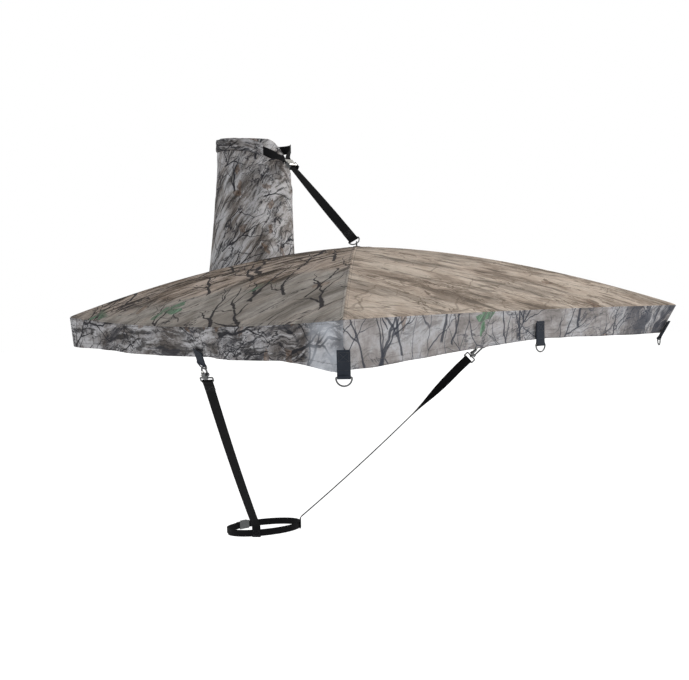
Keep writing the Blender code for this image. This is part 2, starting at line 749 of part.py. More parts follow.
def sleeve_radius(height, angle):
    """The sleeve's inner radius. It flares towards the roof, most of all on the left behind."""
    left = math.exp(-1.8 * (1 - math.cos(angle - math.radians(-124))))
    low = max(0, 1 - max(height, 0.10) / 0.45)
    return 0.1060 + (0.006 + 0.044 * left) * low ** 1.25


def smoothstep(share):
    share = min(max(share, 0), 1)
    return share * share * (3 - 2 * share)


def sleeve_fall(angle):
    """How far the strap drags the sleeve's top down, from the front round to the right."""
    turn = math.degrees((angle + math.pi) % math.tau - math.pi)
    return 0.095 * smoothstep((turn + 14) / 72) * (1 - smoothstep((turn - 70) / 50))


def make_sleeve():
    open_half = 0.012

    def place(across, rise):
        gap = open_half / TRUNK_RADIUS
        angle = math.pi + gap + (2 * math.pi - 2 * gap) * across
        forward = -math.cos(angle)
        foot_radius = sleeve_radius(0, angle)
        foot = roof_height(foot_radius * math.sin(angle), foot_radius * forward) + CLOTH + 0.0010
        top = SLEEVE_TOP + COLLAR_SLOPE * TRUNK_RADIUS * forward - sleeve_fall(angle)
        height = foot + (top - foot) * rise
        radius = sleeve_radius(height, angle)
        return Vector((radius * math.sin(angle), radius * forward, height))

    sheet("trunk_sleeve", 44, 8, place, CLOTH, 1, ROOF_CLOTH)

    def closure(across, rise):
        foot = 0.0085
        top = SLEEVE_TOP - CASING_HEIGHT + 0.0055
        height = foot + (top - foot) * rise
        angle = math.pi + (0.030 / TRUNK_RADIUS) * (2 * across - 1)
        radius = sleeve_radius(height, angle) + CLOTH + 2 * GAP
        return Vector((radius * math.sin(angle), -radius * math.cos(angle), height))

    sheet("sleeve_closure", 6, 8, closure, 0.0014, 1, HOOK_AND_LOOP)

    route = []
    for centre, way in collar_route(COLLAR_RADIUS + 0.0018, 0.060, 9)[:35]:
        centre = Vector((centre.x, centre.y, collar_level(centre, way)))
        route.append((centre, Z * (CASING_HEIGHT / 2 - 0.0006)))
    strap("sleeve_casing", route, ROOF_CLOTH, CLOTH)


# --- Assembly ----------------------------------------------------------------------------------

def main():
    make_roof()
    make_ridge_tapes()
    make_poles()
    make_apex_fittings()

    diagonal = Vector((-1, -1, 0)).normalized()
    make_tab("front_left", CORNERS["front_left"] + diagonal * 0.0045 - Z * 0.1045, Z, diagonal)
    make_tab("front_middle", Vector((0.010, FRONT_Y - 0.0050, -0.0715)), Z, -Y)
    lean = CORNER_LEAN["front_right"]
    drop = VALANCE_DROP["right"]
    hem = CORNERS["front_right"] + Vector((-lean, lean, -drop))
    up = (CORNERS["front_right"] - hem).normalized()
    outward = (Vector((1, -1, 0)) - up * up.dot(Vector((1, -1, 0)))).normalized()
    make_tab("front_right", hem - up * 0.014 + outward * 0.0045, up, outward)

    for label, side in (("left", -1), ("right", 1)):
        line = SideLine(side)
        make_tab(label, line.ring, -line.down, line.outward, -line.down)
        make_hook(label, line)
        make_side_strap(label, line)

    make_belt()
    for label, (place, width) in buckle_frames().items():
        make_buckle(label, place, width)
    make_collar()
    make_suspension()
    make_sleeve()


main()
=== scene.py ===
import math

import bmesh
import bpy
import numpy as np
from mathutils import Matrix, Vector


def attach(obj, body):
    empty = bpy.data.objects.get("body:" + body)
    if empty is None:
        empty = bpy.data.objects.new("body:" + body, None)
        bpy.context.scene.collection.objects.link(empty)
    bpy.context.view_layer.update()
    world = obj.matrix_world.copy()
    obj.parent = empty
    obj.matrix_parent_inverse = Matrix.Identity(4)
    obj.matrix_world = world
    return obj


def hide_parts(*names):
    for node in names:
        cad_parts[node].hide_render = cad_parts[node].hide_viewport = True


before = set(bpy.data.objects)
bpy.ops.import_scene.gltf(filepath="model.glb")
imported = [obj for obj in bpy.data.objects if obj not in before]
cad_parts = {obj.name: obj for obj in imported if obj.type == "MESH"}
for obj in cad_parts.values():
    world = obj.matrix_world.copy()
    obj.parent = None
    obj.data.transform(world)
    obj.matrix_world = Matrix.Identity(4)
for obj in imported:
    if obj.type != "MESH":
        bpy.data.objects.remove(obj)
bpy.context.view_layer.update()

# The dimensions that part.py is driven by
TRUNK_RADIUS = 0.105
HALF_WIDTH = 0.530
REAR_Y = 0.130
FRONT_Y = -1.055
APEX_RISE = 0.165
RIDGE_POWER = 1.65
SLEEVE_TOP = 0.499
COLLAR_SLOPE = 0.068
BELT_Z = -0.644
BELT_SLOPE = -0.102
ATTACH_ANGLE = math.radians(46)
WEBBING = 0.0016
WEBBING_WIDTH = 0.025
BELT_WIDTH = 0.020
CASING_HEIGHT = 0.036
POLE_DROP = 0.0078
RING_WIRE = 0.0016
RING_HALF_WIDTH = 0.0147
RING_DROP = 0.0160
TAB_LENGTH = 0.050
SIDE_SAG = 0.0195
FRONT_LIFT = 0.0035
VALANCE_DROP = {"front": 0.066, "left": 0.070, "right": 0.068, "rear": 0.068}
CORNER_DROP = 0.026
SIDE_PULL = 0.048
SIDE_PULL_Y = -0.480
APEX_Y = (REAR_Y + FRONT_Y) / 2
HALF_LENGTH = (REAR_Y - FRONT_Y) / 2
CORNERS = {
    "front_left": (-HALF_WIDTH, FRONT_Y),
    "front_right": (HALF_WIDTH, FRONT_Y),
    "rear_left": (-HALF_WIDTH, REAR_Y),
    "rear_right": (HALF_WIDTH, REAR_Y),
}
CORNER_LEAN = {"front_left": 0.0, "front_right": 0.027, "rear_left": 0.006, "rear_right": 0.012}
X, Y, Z = Vector((1, 0, 0)), Vector((0, 1, 0)), Vector((0, 0, 1))

CAMERA_PLACE = Vector((-1.6673, -2.4638, 0.0470))
CAMERA_HEADING = Vector((0.62835, 0.77655, -0.04625))
CAMERA_ROLL = math.radians(-1.345)
SENSOR_WIDTH = 36
IMAGE_WIDTH = 689
FOCAL_LENGTH = 1000  # in the same units as IMAGE_WIDTH
FLOOR_REACH = 60
FLOOR_LEVEL = -3.2

scene = bpy.context.scene


# --- Camera, floor and light -------------------------------------------------------------------

def make_camera():
    forward = CAMERA_HEADING.normalized()
    right = forward.cross(Z).normalized()
    up = right.cross(forward)
    cos, sin = math.cos(CAMERA_ROLL), math.sin(CAMERA_ROLL)
    right, up = right * cos + up * sin, up * cos - right * sin
    data = bpy.data.cameras.new("camera")
    data.sensor_width = SENSOR_WIDTH
    data.lens = SENSOR_WIDTH * FOCAL_LENGTH / IMAGE_WIDTH
    data.clip_end = 200
    camera = bpy.data.objects.new("camera", data)
    scene.collection.objects.link(camera)
    rotation = Matrix((right, up, -forward)).transposed()
    camera.matrix_world = Matrix.Translation(CAMERA_PLACE) @ rotation.to_4x4()
    scene.camera = camera


def area_light(name, place, target, size, power, color=(1, 1, 1)):
    data = bpy.data.lights.new(name, "AREA")
    data.shape = "DISK"
    data.size = size
    data.energy = power
    data.color = color
    light = bpy.data.objects.new(name, data)
    scene.collection.objects.link(light)
    light.location = place
    light.rotation_mode = "QUATERNION"
    light.rotation_quaternion = (Vector(target) - Vector(place)).to_track_quat("-Z", "Y")


def make_stage():
    scene.view_settings.view_transform = "Standard"
    scene.view_settings.look = "None"
    world = bpy.data.worlds.new("studio")
    world.use_nodes = True
    tree = world.node_tree
    place = tree.nodes.new("ShaderNodeTexCoord")
    height = tree.nodes.new("ShaderNodeSeparateXYZ")
    shade = tree.nodes.new("ShaderNodeMapRange")
    shade.inputs["From Min"].default_value = 0.34
    shade.inputs["From Max"].default_value = 0.75
    shade.inputs["To Min"].default_value = 1.0
    shade.inputs["To Max"].default_value = 0.42
    tree.links.new(place.outputs["Generated"], height.inputs["Vector"])
    tree.links.new(height.outputs["Z"], shade.inputs["Value"])
    tree.links.new(shade.outputs["Result"], tree.nodes["Background"].inputs["Strength"])
    tree.nodes["Background"].inputs["Color"].default_value = (1, 1, 1, 1)
    scene.world = world
    area_light("key", (1.9, -3.0, 2.7), (0, -0.5, 0.05), 0.9, 165, (1.0, 0.97, 0.93))
    area_light("fill", (-3.0, -1.8, 1.2), (0, -0.4, 0), 2.0, 26, (0.95, 0.97, 1.0))

    mesh = bpy.data.meshes.new("floor")
    corners = [(-1, -1), (1, -1), (1, 1), (-1, 1)]
    mesh.from_pydata([(FLOOR_REACH * x, FLOOR_REACH * y, FLOOR_LEVEL) for x, y in corners], [],
                     [(0, 1, 2, 3)])
    floor = bpy.data.objects.new("floor", mesh)
    scene.collection.objects.link(floor)
    paint = bpy.data.materials.new("floor")
    paint.use_nodes = True
    shader = paint.node_tree.nodes["Principled BSDF"]
    shader.inputs["Base Color"].default_value = (0.92, 0.92, 0.92, 1)
    shader.inputs["Roughness"].default_value = 0.9
    shader.inputs["Emission Color"].default_value = (1, 1, 1, 1)
    shader.inputs["Emission Strength"].default_value = 0.6
    mesh.materials.append(paint)


# --- Material nodes ----------------------------------------------------------------------------

class Paint:
    """A material whose nodes are added with short calls."""

    def __init__(self, name):
        self.material = bpy.data.materials.new(name)
        self.material.use_nodes = True
        self.tree = self.material.node_tree
        self.shader = self.tree.nodes["Principled BSDF"]

    def add(self, kind, **settings):
        node = self.tree.nodes.new("ShaderNode" + kind)
        for key, value in settings.items():
            setattr(node, key, value)
        return node

    def feed(self, socket, value):
        if isinstance(value, bpy.types.NodeSocket):
            self.tree.links.new(value, socket)
        elif isinstance(value, (int, float)):
            socket.default_value = value
        elif len(value) == 3 and socket.type == "RGBA":
            socket.default_value = (*value, 1)
        else:
            socket.default_value = value

    def set(self, name, value):
        self.feed(self.shader.inputs[name], value)

    def calc(self, operation, first, second=0.0, third=0.0):
        node = self.add("Math", operation=operation)
        for socket, value in zip(node.inputs, (first, second, third)):
            self.feed(socket, value)
        return node.outputs[0]

    def step(self, value, low, high):
        """0 at low and 1 at high, smooth between; low may be the greater."""
        node = self.add("MapRange", interpolation_type="SMOOTHSTEP")
        self.feed(node.inputs["Value"], value)
        node.inputs["From Min"].default_value = min(low, high)
        node.inputs["From Max"].default_value = max(low, high)
        node.inputs["To Min"].default_value = 1.0 if low > high else 0.0
        node.inputs["To Max"].default_value = 0.0 if low > high else 1.0
        return node.outputs["Result"]

    def both(self, first, *others):
        """The product of the values: how far all of them hold at once."""
        for other in others:
            first = self.calc("MULTIPLY", first, other)
        return first

    def mix(self, share, first, second, blend="MIX"):
        node = self.add("Mix", data_type="RGBA", blend_type=blend)
        self.feed(node.inputs["Factor"], share)
        sockets = [socket for socket in node.inputs if socket.type == "RGBA"]
        self.feed(sockets[0], first)
        self.feed(sockets[1], second)
        return [socket for socket in node.outputs if socket.type == "RGBA"][0]

    def attribute(self, name, output="Vector"):
        return self.add("Attribute", attribute_name=name).outputs[output]

    def split(self, vector):
        node = self.add("SeparateXYZ")
        self.feed(node.inputs["Vector"], vector)
        return node.outputs

    def channels(self, color):
        node = self.add("SeparateColor")
        self.feed(node.inputs["Color"], color)
        return node.outputs

    def mapped(self, vector, turn=0.0, scale=(1, 1, 1), shift=(0, 0, 0)):
        """The vector turned so that what runs along x then runs turn degrees from it, and scaled."""
        turned = self.add("VectorRotate", rotation_type="Z_AXIS")
        self.feed(turned.inputs["Vector"], vector)
        turned.inputs["Angle"].default_value = math.radians(-turn)
        node = self.add("Mapping")
        self.feed(node.inputs["Vector"], turned.outputs["Vector"])
        node.inputs["Scale"].default_value = scale
        node.inputs["Location"].default_value = shift
        return node.outputs["Vector"]

    def noise(self, vector, scale, detail=2.0, rough=0.5, output="Fac"):
        node = self.add("TexNoise")
        self.feed(node.inputs["Vector"], vector)
        node.inputs["Scale"].default_value = scale
        node.inputs["Detail"].default_value = detail
        node.inputs["Roughness"].default_value = rough
        return node.outputs[output]

    def cells(self, vector, scale, feature="F1"):
        node = self.add("TexVoronoi", feature=feature, voronoi_dimensions="2D")
        self.feed(node.inputs["Vector"], vector)
        node.inputs["Scale"].default_value = scale
        return node

    def wave(self, value, count):
        """A ripple from 0 to 1, count times a metre."""
        ripple = self.calc("SINE", self.both(value, math.tau * count))
        return self.calc("MULTIPLY_ADD", ripple, 0.5, 0.5)

    def ramp(self, value, stops):
        node = self.add("ValToRGB")
        self.feed(node.inputs["Fac"], value)
        ramp = node.color_ramp
        while len(ramp.elements) < len(stops):
            ramp.elements.new(0.5)
        for element, (place, color) in zip(ramp.elements, stops):
            element.position = place
            element.color = (*color, 1)
        return node.outputs["Color"]

    def bump(self, height, distance, strength=1.0):
        node = self.add("Bump")
        self.feed(node.inputs["Height"], height)
        node.inputs["Distance"].default_value = distance
        node.inputs["Strength"].default_value = strength
        self.tree.links.new(node.outputs["Normal"], self.shader.inputs["Normal"])


def shade(color, factor):
    return tuple(channel * factor for channel in color)


class Spots:
    """Random spots over the cloth, each turned its own way: t runs along it and n across it."""

    def __init__(self, paint, vector, scale, turn, spread, shift):
        moved = paint.mapped(vector, 0, (1, 1, 0), (*shift, 0))
        cell = paint.cells(moved, scale)
        local = paint.add("VectorMath", operation="SUBTRACT")
        paint.feed(local.inputs[0], moved)
        paint.feed(local.inputs[1], cell.outputs["Position"])
        self.picks = paint.channels(cell.outputs["Color"])
        turned = paint.add("VectorRotate", rotation_type="Z_AXIS")
        paint.feed(turned.inputs["Vector"], local.outputs["Vector"])
        spread = math.radians(spread)
        paint.feed(turned.inputs["Angle"], paint.calc("MULTIPLY_ADD", self.picks[0], -spread,
                                                      spread / 2 - math.radians(turn)))
        parts = paint.split(turned.outputs["Vector"])
        self.paint, self.t, self.n = paint, parts[0], parts[1]

    def shown(self, share):
        """1 on the given share of the spots and 0 on the others."""
        return self.paint.step(self.picks[1], 1 - share, 1.001 - share)

    def along(self, start, turn):
        """Distances along and across a line that starts at a t and turns off by some degrees."""
        p = self.paint
        cos, sin = math.cos(math.radians(turn)), math.sin(math.radians(turn))
        along = p.calc("MULTIPLY_ADD", self.n, sin, p.calc("MULTIPLY_ADD", self.t, cos, -start * cos))
        across = p.calc("MULTIPLY_ADD", self.n, cos, p.calc("MULTIPLY_ADD", self.t, -sin, start * sin))
        return along, across

    def branch(self, start, turn, length, half):
        """A tapering line."""
        p = self.paint
        along, across = self.along(start, turn)
        width = p.calc("MAXIMUM", p.calc("MULTIPLY_ADD", along, -0.8 * half / length, half), 0.0003)
        cover = p.step(p.calc("DIVIDE", p.calc("ABSOLUTE", across), width), 1.25, 0.7)
        ends = p.both(p.step(along, -0.004, 0.0), p.step(along, length, length * 0.93))
        return p.both(cover, ends)

    def leaf(self, start, turn, length, half):
        """A pointed oval."""
        p = self.paint
        along, across = self.along(start, turn)
        share = p.calc("MULTIPLY", along, 1 / length)
        belly = p.calc("MAXIMUM", p.both(share, p.calc("SUBTRACT", 1.0, share)), 0.0)
        width = p.calc("MAXIMUM", p.both(belly, 4 * half), 0.0002)
        return p.step(p.calc("DIVIDE", p.calc("ABSOLUTE", across), width), 1.08, 0.92)


def most(paint, first, *others):
    for other in others:
        first = paint.calc("MAXIMUM", first, other)
    return first


def camouflage(name, ground, seed, grain=0.5, grain_turn=0.0, branches=0.6, ink=(0.035, 0.03, 0.03),
               turn=60.0, spread=60.0, cracks=0.3, twigs=0.5, green=0.2, rust=0.3, rim=None, back=0.0,
               inks=(0.55, 0.6), plates=0.0, web=0.0, blots=0.0, size=1.0, drawn=1.0, painted_shade_span=None):
    """A generic woodland print: mottled ground, bark grain, branches, twigs and scattered leaves; where
    asked, also painted shade over one span and a painted patch of light shining through the cloth.
    """
    p = Paint(name)
    printed = p.attribute("print")
    axes = p.split(printed)
    spot = p.mapped(printed, 0, (1 / size, 1 / size, 0), (seed * 3.7, seed * 1.9, seed * 0.77))
    wander = p.noise(spot, 6.0, 3, 0.55, "Color")
    pushed = p.add("VectorMath", operation="MULTIPLY_ADD")
    p.feed(pushed.inputs[0], wander)
    pushed.inputs[1].default_value = (0.08, 0.08, 0)
    p.feed(pushed.inputs[2], spot)
    warped = pushed.outputs["Vector"]

    tone = p.noise(spot, 7.5, 5, 0.62)
    color = p.ramp(tone, [(0.38, ground[0]), (0.47, ground[1]), (0.56, ground[2]), (0.66, ground[1])])
    grained = grain
    low = 1.0
    if rim:
        reach = p.calc("ADD", axes[2], p.calc("MULTIPLY_ADD", p.noise(spot, 7, 2), 0.5, -0.25))
        low = p.step(reach, 0.42, 0.62)
        pale = p.ramp(tone, [(0.40, rim[0]), (0.52, rim[1]), (0.64, rim[0])])
        color = p.mix(low, color, pale)
        grained = p.calc("MULTIPLY_ADD", low, -0.72 * grain, grain)
    if plates:
        slab = p.noise(p.mapped(warped, grain_turn + 3, (1.0, 4.5 * drawn, 1), (3, 4, 0)), 4.2, 7, 0.66)
        dark = p.both(p.step(slab, 0.485, 0.43), p.both(grained, plates))
        color = p.mix(dark, color, shade(ground[0], 0.30))
        color = p.mix(p.both(p.step(slab, 0.55, 0.60), p.both(grained, plates)), color, shade(ground[2], 1.2))
    streak = p.noise(p.mapped(warped, grain_turn, (1.0, 6.5 * drawn, 1)), 8.0, 8, 0.72)
    color = p.mix(p.both(p.step(streak, 0.475, 0.41), grained), color, shade(ground[0], 0.22))
    color = p.mix(p.both(p.step(streak, 0.54, 0.62), grained, 0.8), color, shade(ground[2], 1.3))
    if blots:
        mass = p.noise(p.mapped(warped, grain_turn + 14, (1.0, 3.6, 1), (6, 2, 0)), 6.5, 7, 0.70)
        color = p.mix(p.both(p.step(mass, 0.48, 0.40), blots), color, shade(ink, 1.8))
        color = p.mix(p.both(p.step(mass, 0.56, 0.62), blots, 0.7), color, shade(ground[2], 1.35))

    for angle, scale, stretch, width, mask in ((grain_turn + 4, 3.0, 3.6, 0.012, 0.45),
                                               (grain_turn - 30, 4.5, 2.0, 0.010, 0.47)):
        field = p.noise(p.mapped(warped, angle, (1, stretch, 1), (angle * 0.1, 1.3, 0)), scale, 5, 0.6)
        line = p.step(p.calc("ABSOLUTE", p.calc("SUBTRACT", field, 0.5)), width, width * 0.25)
        shown = p.step(p.noise(p.mapped(spot, 0, (1, 1, 1), (angle * 0.31, 7.7, 0)), 4.2, 1), mask,
                       mask + 0.06)
        color = p.mix(p.both(line, shown, cracks), color, shade(ink, 1.2))

    litter = Spots(p, warped, 11.0, 20, 300, (4.1 + seed, 0.7))
    ragged = p.calc("MULTIPLY_ADD", p.noise(warped, 55, 3), 0.03, -0.015)
    litter.n = p.calc("ADD", litter.n, ragged)
    shape = p.both(litter.leaf(-0.026, 0, 0.052, 0.0125), litter.shown(rust))
    rusty = p.ramp(p.noise(warped, 60, 3, 0.7), [(0.38, (0.030, 0.018, 0.014)), (0.52, (0.110, 0.072, 0.050)),
                                                 (0.68, (0.240, 0.185, 0.150))])
    color = p.mix(p.both(shape, 0.65), color, rusty)

    if web:
        mesh = p.cells(p.mapped(warped, turn + 8, (1, 2.2, 1), (1.1, 0.6, 0)), 6.5, "DISTANCE_TO_EDGE")
        line = p.step(mesh.outputs["Distance"], 0.022, 0.006)
        shown = p.step(p.noise(p.mapped(spot, 0, (1, 1, 1), (9.1, 0.4, 0)), 5.0, 2), 0.46, 0.52)
        color = p.mix(p.both(line, shown, web), color, shade(ink, 1.25))

    fine = Spots(p, warped, 7.0, turn + 15, spread * 1.8, (0.3, seed * 1.7))
    lines = most(p, fine.branch(-0.06, 0, 0.13, 0.0016), fine.branch(-0.03, 34, 0.07, 0.0012),
                 fine.branch(-0.01, -38, 0.06, 0.0012))
    color = p.mix(p.both(lines, fine.shown(inks[1]), twigs), color, shade(ink, 1.2))

    gnarl = p.calc("MULTIPLY_ADD", p.noise(warped, 42, 2), 0.008, -0.004)
    for scale, lean, share, thick, shift in ((3.6, 0, 1.0, 1.0, (1.9, 2.3 * seed)),
                                             (5.2, 14, 0.8, 0.8, (3.3 * seed, 0.4)),
                                             (4.4, -12, 0.8, 0.7, (0.7, 1.1 * seed + 2))):
        bough = Spots(p, warped, scale, turn + lean, spread, shift)
        bough.n = p.calc("ADD", bough.n, gnarl)
        lines = most(p, bough.branch(-0.12, 0, 0.25, 0.0060 * thick),
                     bough.branch(-0.06, 30, 0.12, 0.0036 * thick),
                     bough.branch(0.00, -34, 0.11, 0.0032 * thick))
        color = p.mix(p.both(lines, bough.shown(inks[0] * share), branches), color, ink)

    if green:
        sprig = Spots(p, warped, 4.6, 70, 120, (2.7, 5.1 * seed))
        sprig.n = p.calc("ADD", sprig.n, p.both(ragged, 0.6))
        shape = most(p, sprig.leaf(0.003, 10, 0.050, 0.0140), sprig.leaf(0.000, 75, 0.042, 0.0120),
                     sprig.leaf(0.000, -58, 0.046, 0.0130), sprig.leaf(-0.004, 150, 0.034, 0.0095))
        veins = p.noise(p.mapped(warped, 55, (1, 5, 1)), 24, 3, 0.6)
        foliage = p.ramp(veins, [(0.36, (0.014, 0.036, 0.022)), (0.50, (0.052, 0.110, 0.066)),
                                 (0.66, (0.155, 0.250, 0.175))])
        veined = p.calc("MULTIPLY_ADD", p.step(veins, 0.40, 0.55), 0.45, 0.5)
        color = p.mix(p.both(shape, sprig.shown(green), low, veined), color, foliage)
    # Painted shade: ink-coloured clumps darken the print from near to far along it and on beyond, standing in
    # for the shade over the bunched right end of the front valance.
    if painted_shade_span:
        near, far = painted_shade_span
        clumps = p.noise(p.mapped(warped, turn, (1, 2.5, 1), (5, 5, 0)), 9, 6, 0.68)
        painted_shade_share = p.both(p.step(clumps, 0.60, 0.47), p.step(axes[0], near, far))
        color = p.mix(p.both(painted_shade_share, 0.85), color, shade(ink, 1.1))

    mottle = p.noise(spot, 150, 3, 0.6)
    dapple = p.ramp(mottle, [(0.3, (0.48, 0.48, 0.48)), (0.7, (1, 1, 1))])
    color = p.mix(0.4, color, dapple, "MULTIPLY")
    # Painted light: where the cloth's pale value is set, the colour is mixed towards a pale blue-grey, a
    # painted patch of light shining through the cloth.
    color = p.mix(p.both(p.attribute("pale", "Fac"), 0.8), color, (0.50, 0.53, 0.58))
    if back:
        color = p.mix(back, color, shade(ground[1], 1.05))
    p.set("Base Color", color)
    p.set("Roughness", p.calc("MULTIPLY_ADD", mottle, 0.2, 0.72))
    p.set("Specular IOR Level", 0.12)
    weave = p.both(p.wave(axes[0], 900), p.wave(axes[1], 900))
    crumple = p.both(p.noise(spot, 38, 4, 0.6), 2.2)
    p.bump(p.calc("ADD", weave, crumple), 0.0004, 0.8)
    return p.material


def webbing(name, color):
    """Woven webbing: ribs across, pairs of warp threads along, and painted light on the ribs: a painted
    highlight on their tops and painted shade in the grooves.
    """
    p = Paint(name)
    printed = p.attribute("print")
    axes = p.split(printed)
    ribs, threads = p.wave(axes[0], 620), p.wave(axes[1], 480)
    height = p.calc("MULTIPLY_ADD", ribs, 0.6, p.both(threads, 0.5))
    dust = p.noise(printed, 60, 4, 0.6)
    # Painted light: the colour follows the weave's height, lighter on the rib tops as a painted highlight and
    # darker between them as painted shade.
    fine = p.mix(p.both(height, 0.5), shade(color, 0.6), shade(color, 1.7))
    p.set("Base Color", p.mix(p.both(p.step(dust, 0.5, 0.75), 0.3), fine,
                              tuple(channel + 0.008 for channel in color)))
    p.set("Roughness", p.calc("MULTIPLY_ADD", dust, 0.25, 0.65))
    p.set("Specular IOR Level", 0.05)
    p.bump(height, 0.00035, 0.8)
    return p.material


def hard(name, color, rough, scratch=0.5, metallic=1.0):
    """Plated metal or moulded plastic with duller patches and fine scratches."""
    p = Paint(name)
    place = p.add("TexCoord").outputs["Object"]
    patches = p.noise(place, 180, 4, 0.6)
    scratches = p.noise(p.mapped(place, 30, (1, 14, 3)), 420, 3, 0.7)
    worn = p.step(scratches, 0.58, 0.72)
    base = p.mix(p.step(patches, 0.35, 0.65), shade(color, 0.75), color)
    p.set("Base Color", p.mix(p.both(worn, scratch), base, shade(color, 1.8)))
    p.set("Metallic", metallic)
    p.set("Roughness", p.calc("MULTIPLY_ADD", patches, 0.22, rough))
    p.bump(p.calc("ADD", patches, scratches), 0.00005, 0.5)
    return p.material


def fuzzy(name, color):
    """Hook and loop tape: a dull pile."""
    p = Paint(name)
    place = p.add("TexCoord").outputs["Object"]
    pile = p.noise(place, 1400, 3, 0.7)
    p.set("Base Color", p.mix(p.step(pile, 0.4, 0.65), shade(color, 0.5), shade(color, 1.8)))
    p.set("Roughness", 0.95)
    p.set("Sheen Weight", 0.3)
    p.bump(pile, 0.0008, 1.0)
    return p.material


BARK = ((0.190, 0.153, 0.124), (0.296, 0.245, 0.202), (0.362, 0.315, 0.268))
TAUPE = ((0.140, 0.108, 0.084), (0.235, 0.190, 0.155), (0.310, 0.262, 0.225))
PALE_TAUPE = ((0.200, 0.182, 0.162), (0.300, 0.280, 0.256))
GRAY = ((0.185, 0.172, 0.168), (0.262, 0.250, 0.250), (0.325, 0.328, 0.342))
STONE = ((0.085, 0.075, 0.070), (0.190, 0.180, 0.178), (0.310, 0.308, 0.318))
ASH = ((0.140, 0.124, 0.114), (0.270, 0.256, 0.250), (0.370, 0.370, 0.382))

make_camera()
make_stage()

FRONT_PRINT = camouflage("front_print", BARK, 1, grain=0.6, branches=0.4, ink=(0.085, 0.066, 0.050), turn=15,
                         spread=50, cracks=0.9, twigs=0.5, green=0.04, rust=0.10, plates=0.6, web=0.5,
                         drawn=0.7)
SIDE_PRINT = camouflage("side_print", TAUPE, 2, grain=1.0, branches=0.95, ink=(0.018, 0.016, 0.019), turn=84,
                        spread=26, cracks=0.9, twigs=0.85, green=0.46, rust=0.14, rim=PALE_TAUPE,
                        inks=(0.95, 0.85), plates=1.0)
# The front valance's print carries painted shade over its right end, from x = 0.24 on.
VALANCE_PRINT = camouflage("valance_print", GRAY, 3, grain=0.35, grain_turn=10, branches=0.85,
                           ink=(0.030, 0.034, 0.046), turn=66, spread=110, cracks=0.6, twigs=0.95, green=0.40,
                           rust=0.16, inks=(0.9, 0.98), web=0.85, size=0.72, painted_shade_span=(0.24, 0.40))
SIDE_VALANCE_PRINT = camouflage("side_valance_print", STONE, 4, grain=0.8, branches=0.95,
                                ink=(0.014, 0.014, 0.017), turn=20, spread=70, cracks=0.9, twigs=0.9,
                                green=0.06, rust=0.40, inks=(0.95, 0.9), plates=0.9, web=0.6, blots=0.85,
                                size=0.85)
SLEEVE_PRINT = camouflage("sleeve_print", ASH, 5, grain=0.75, grain_turn=50, branches=0.95,
                          ink=(0.018, 0.018, 0.023), turn=48, spread=60, cracks=0.9, twigs=0.95, green=0.16,
                          rust=0.35, inks=(0.85, 0.95), plates=0.7, web=0.8, size=0.62)
CASING_PRINT = camouflage("casing_print", STONE, 7, grain=0.8, grain_turn=-8, branches=0.95,
                          ink=(0.014, 0.015, 0.019), turn=-12, spread=60, cracks=0.9, twigs=0.9, green=0.06,
                          rust=0.3, inks=(0.9, 0.9), plates=0.9, web=0.6, blots=0.9, size=0.6)
BACK_PRINT = camouflage("cloth_back", GRAY, 6, grain=0.3, branches=0.4, ink=(0.08, 0.08, 0.085), green=0.1,
                        rust=0.1, back=0.72)
BLACK_WEB = webbing("black_web", (0.0055, 0.0055, 0.006))
TAB_WEB = webbing("charcoal_web", (0.024, 0.028, 0.036))
TAPE = webbing("seam_binding", (0.050, 0.046, 0.042))
NICKEL = hard("dark_nickel_plate", (0.115, 0.118, 0.120), 0.30)
ZINC = hard("zinc_plate_worn", (0.62, 0.61, 0.58), 0.3)
GLASS_ROD = hard("fibreglass_rod", (0.030, 0.030, 0.032), 0.25, 0.3, 0.0)
MOULDED = hard("moulded_black", (0.022, 0.022, 0.023), 0.4, 0.2, 0.0)
HOOK_LOOP = fuzzy("hook_and_loop_tape", (0.045, 0.045, 0.042))
THREAD = hard("thread", (0.070, 0.062, 0.055), 0.7, 0.2, 0.0)
BLACK_THREAD = hard("black_thread", (0.040, 0.041, 0.045), 0.7, 0.2, 0.0)


# --- Mesh building -----------------------------------------------------------------------------

RANDOM = np.random.default_rng(11).random((64, 64)) * 2 - 1


def ripple(x, y, size, seed):
    """Smooth random waves from -1 to 1, each about size metres long."""
    u = np.asarray(x) / size + 13.37 * seed
    v = np.asarray(y) / size + 7.91 * seed
    i, j = np.floor(u).astype(int), np.floor(v).astype(int)
    f, g = u - i, v - j
    f, g = f * f * (3 - 2 * f), g * g * (3 - 2 * g)
    low = RANDOM[i % 64, j % 64] * (1 - f) + RANDOM[(i + 1) % 64, j % 64] * f
    high = RANDOM[i % 64, (j + 1) % 64] * (1 - f) + RANDOM[(i + 1) % 64, (j + 1) % 64] * f
    return low * (1 - g) + high * g


def smooth(value, low, high):
    share = np.clip((np.asarray(value, float) - low) / (high - low), 0, 1)
    return share * share * (3 - 2 * share)


def bell(distance, reach):
    return np.exp(-(np.asarray(distance) / reach) ** 2)


def mark(mesh, print_at):
    """Records where each point lies on the cloth, which printed and woven materials read."""
    values = np.zeros((len(mesh.vertices), 3), np.float32)
    values[:, :np.asarray(print_at).shape[1]] = print_at
    mesh.attributes.new("print", "FLOAT_VECTOR", "POINT").data.foreach_set("vector", values.ravel())


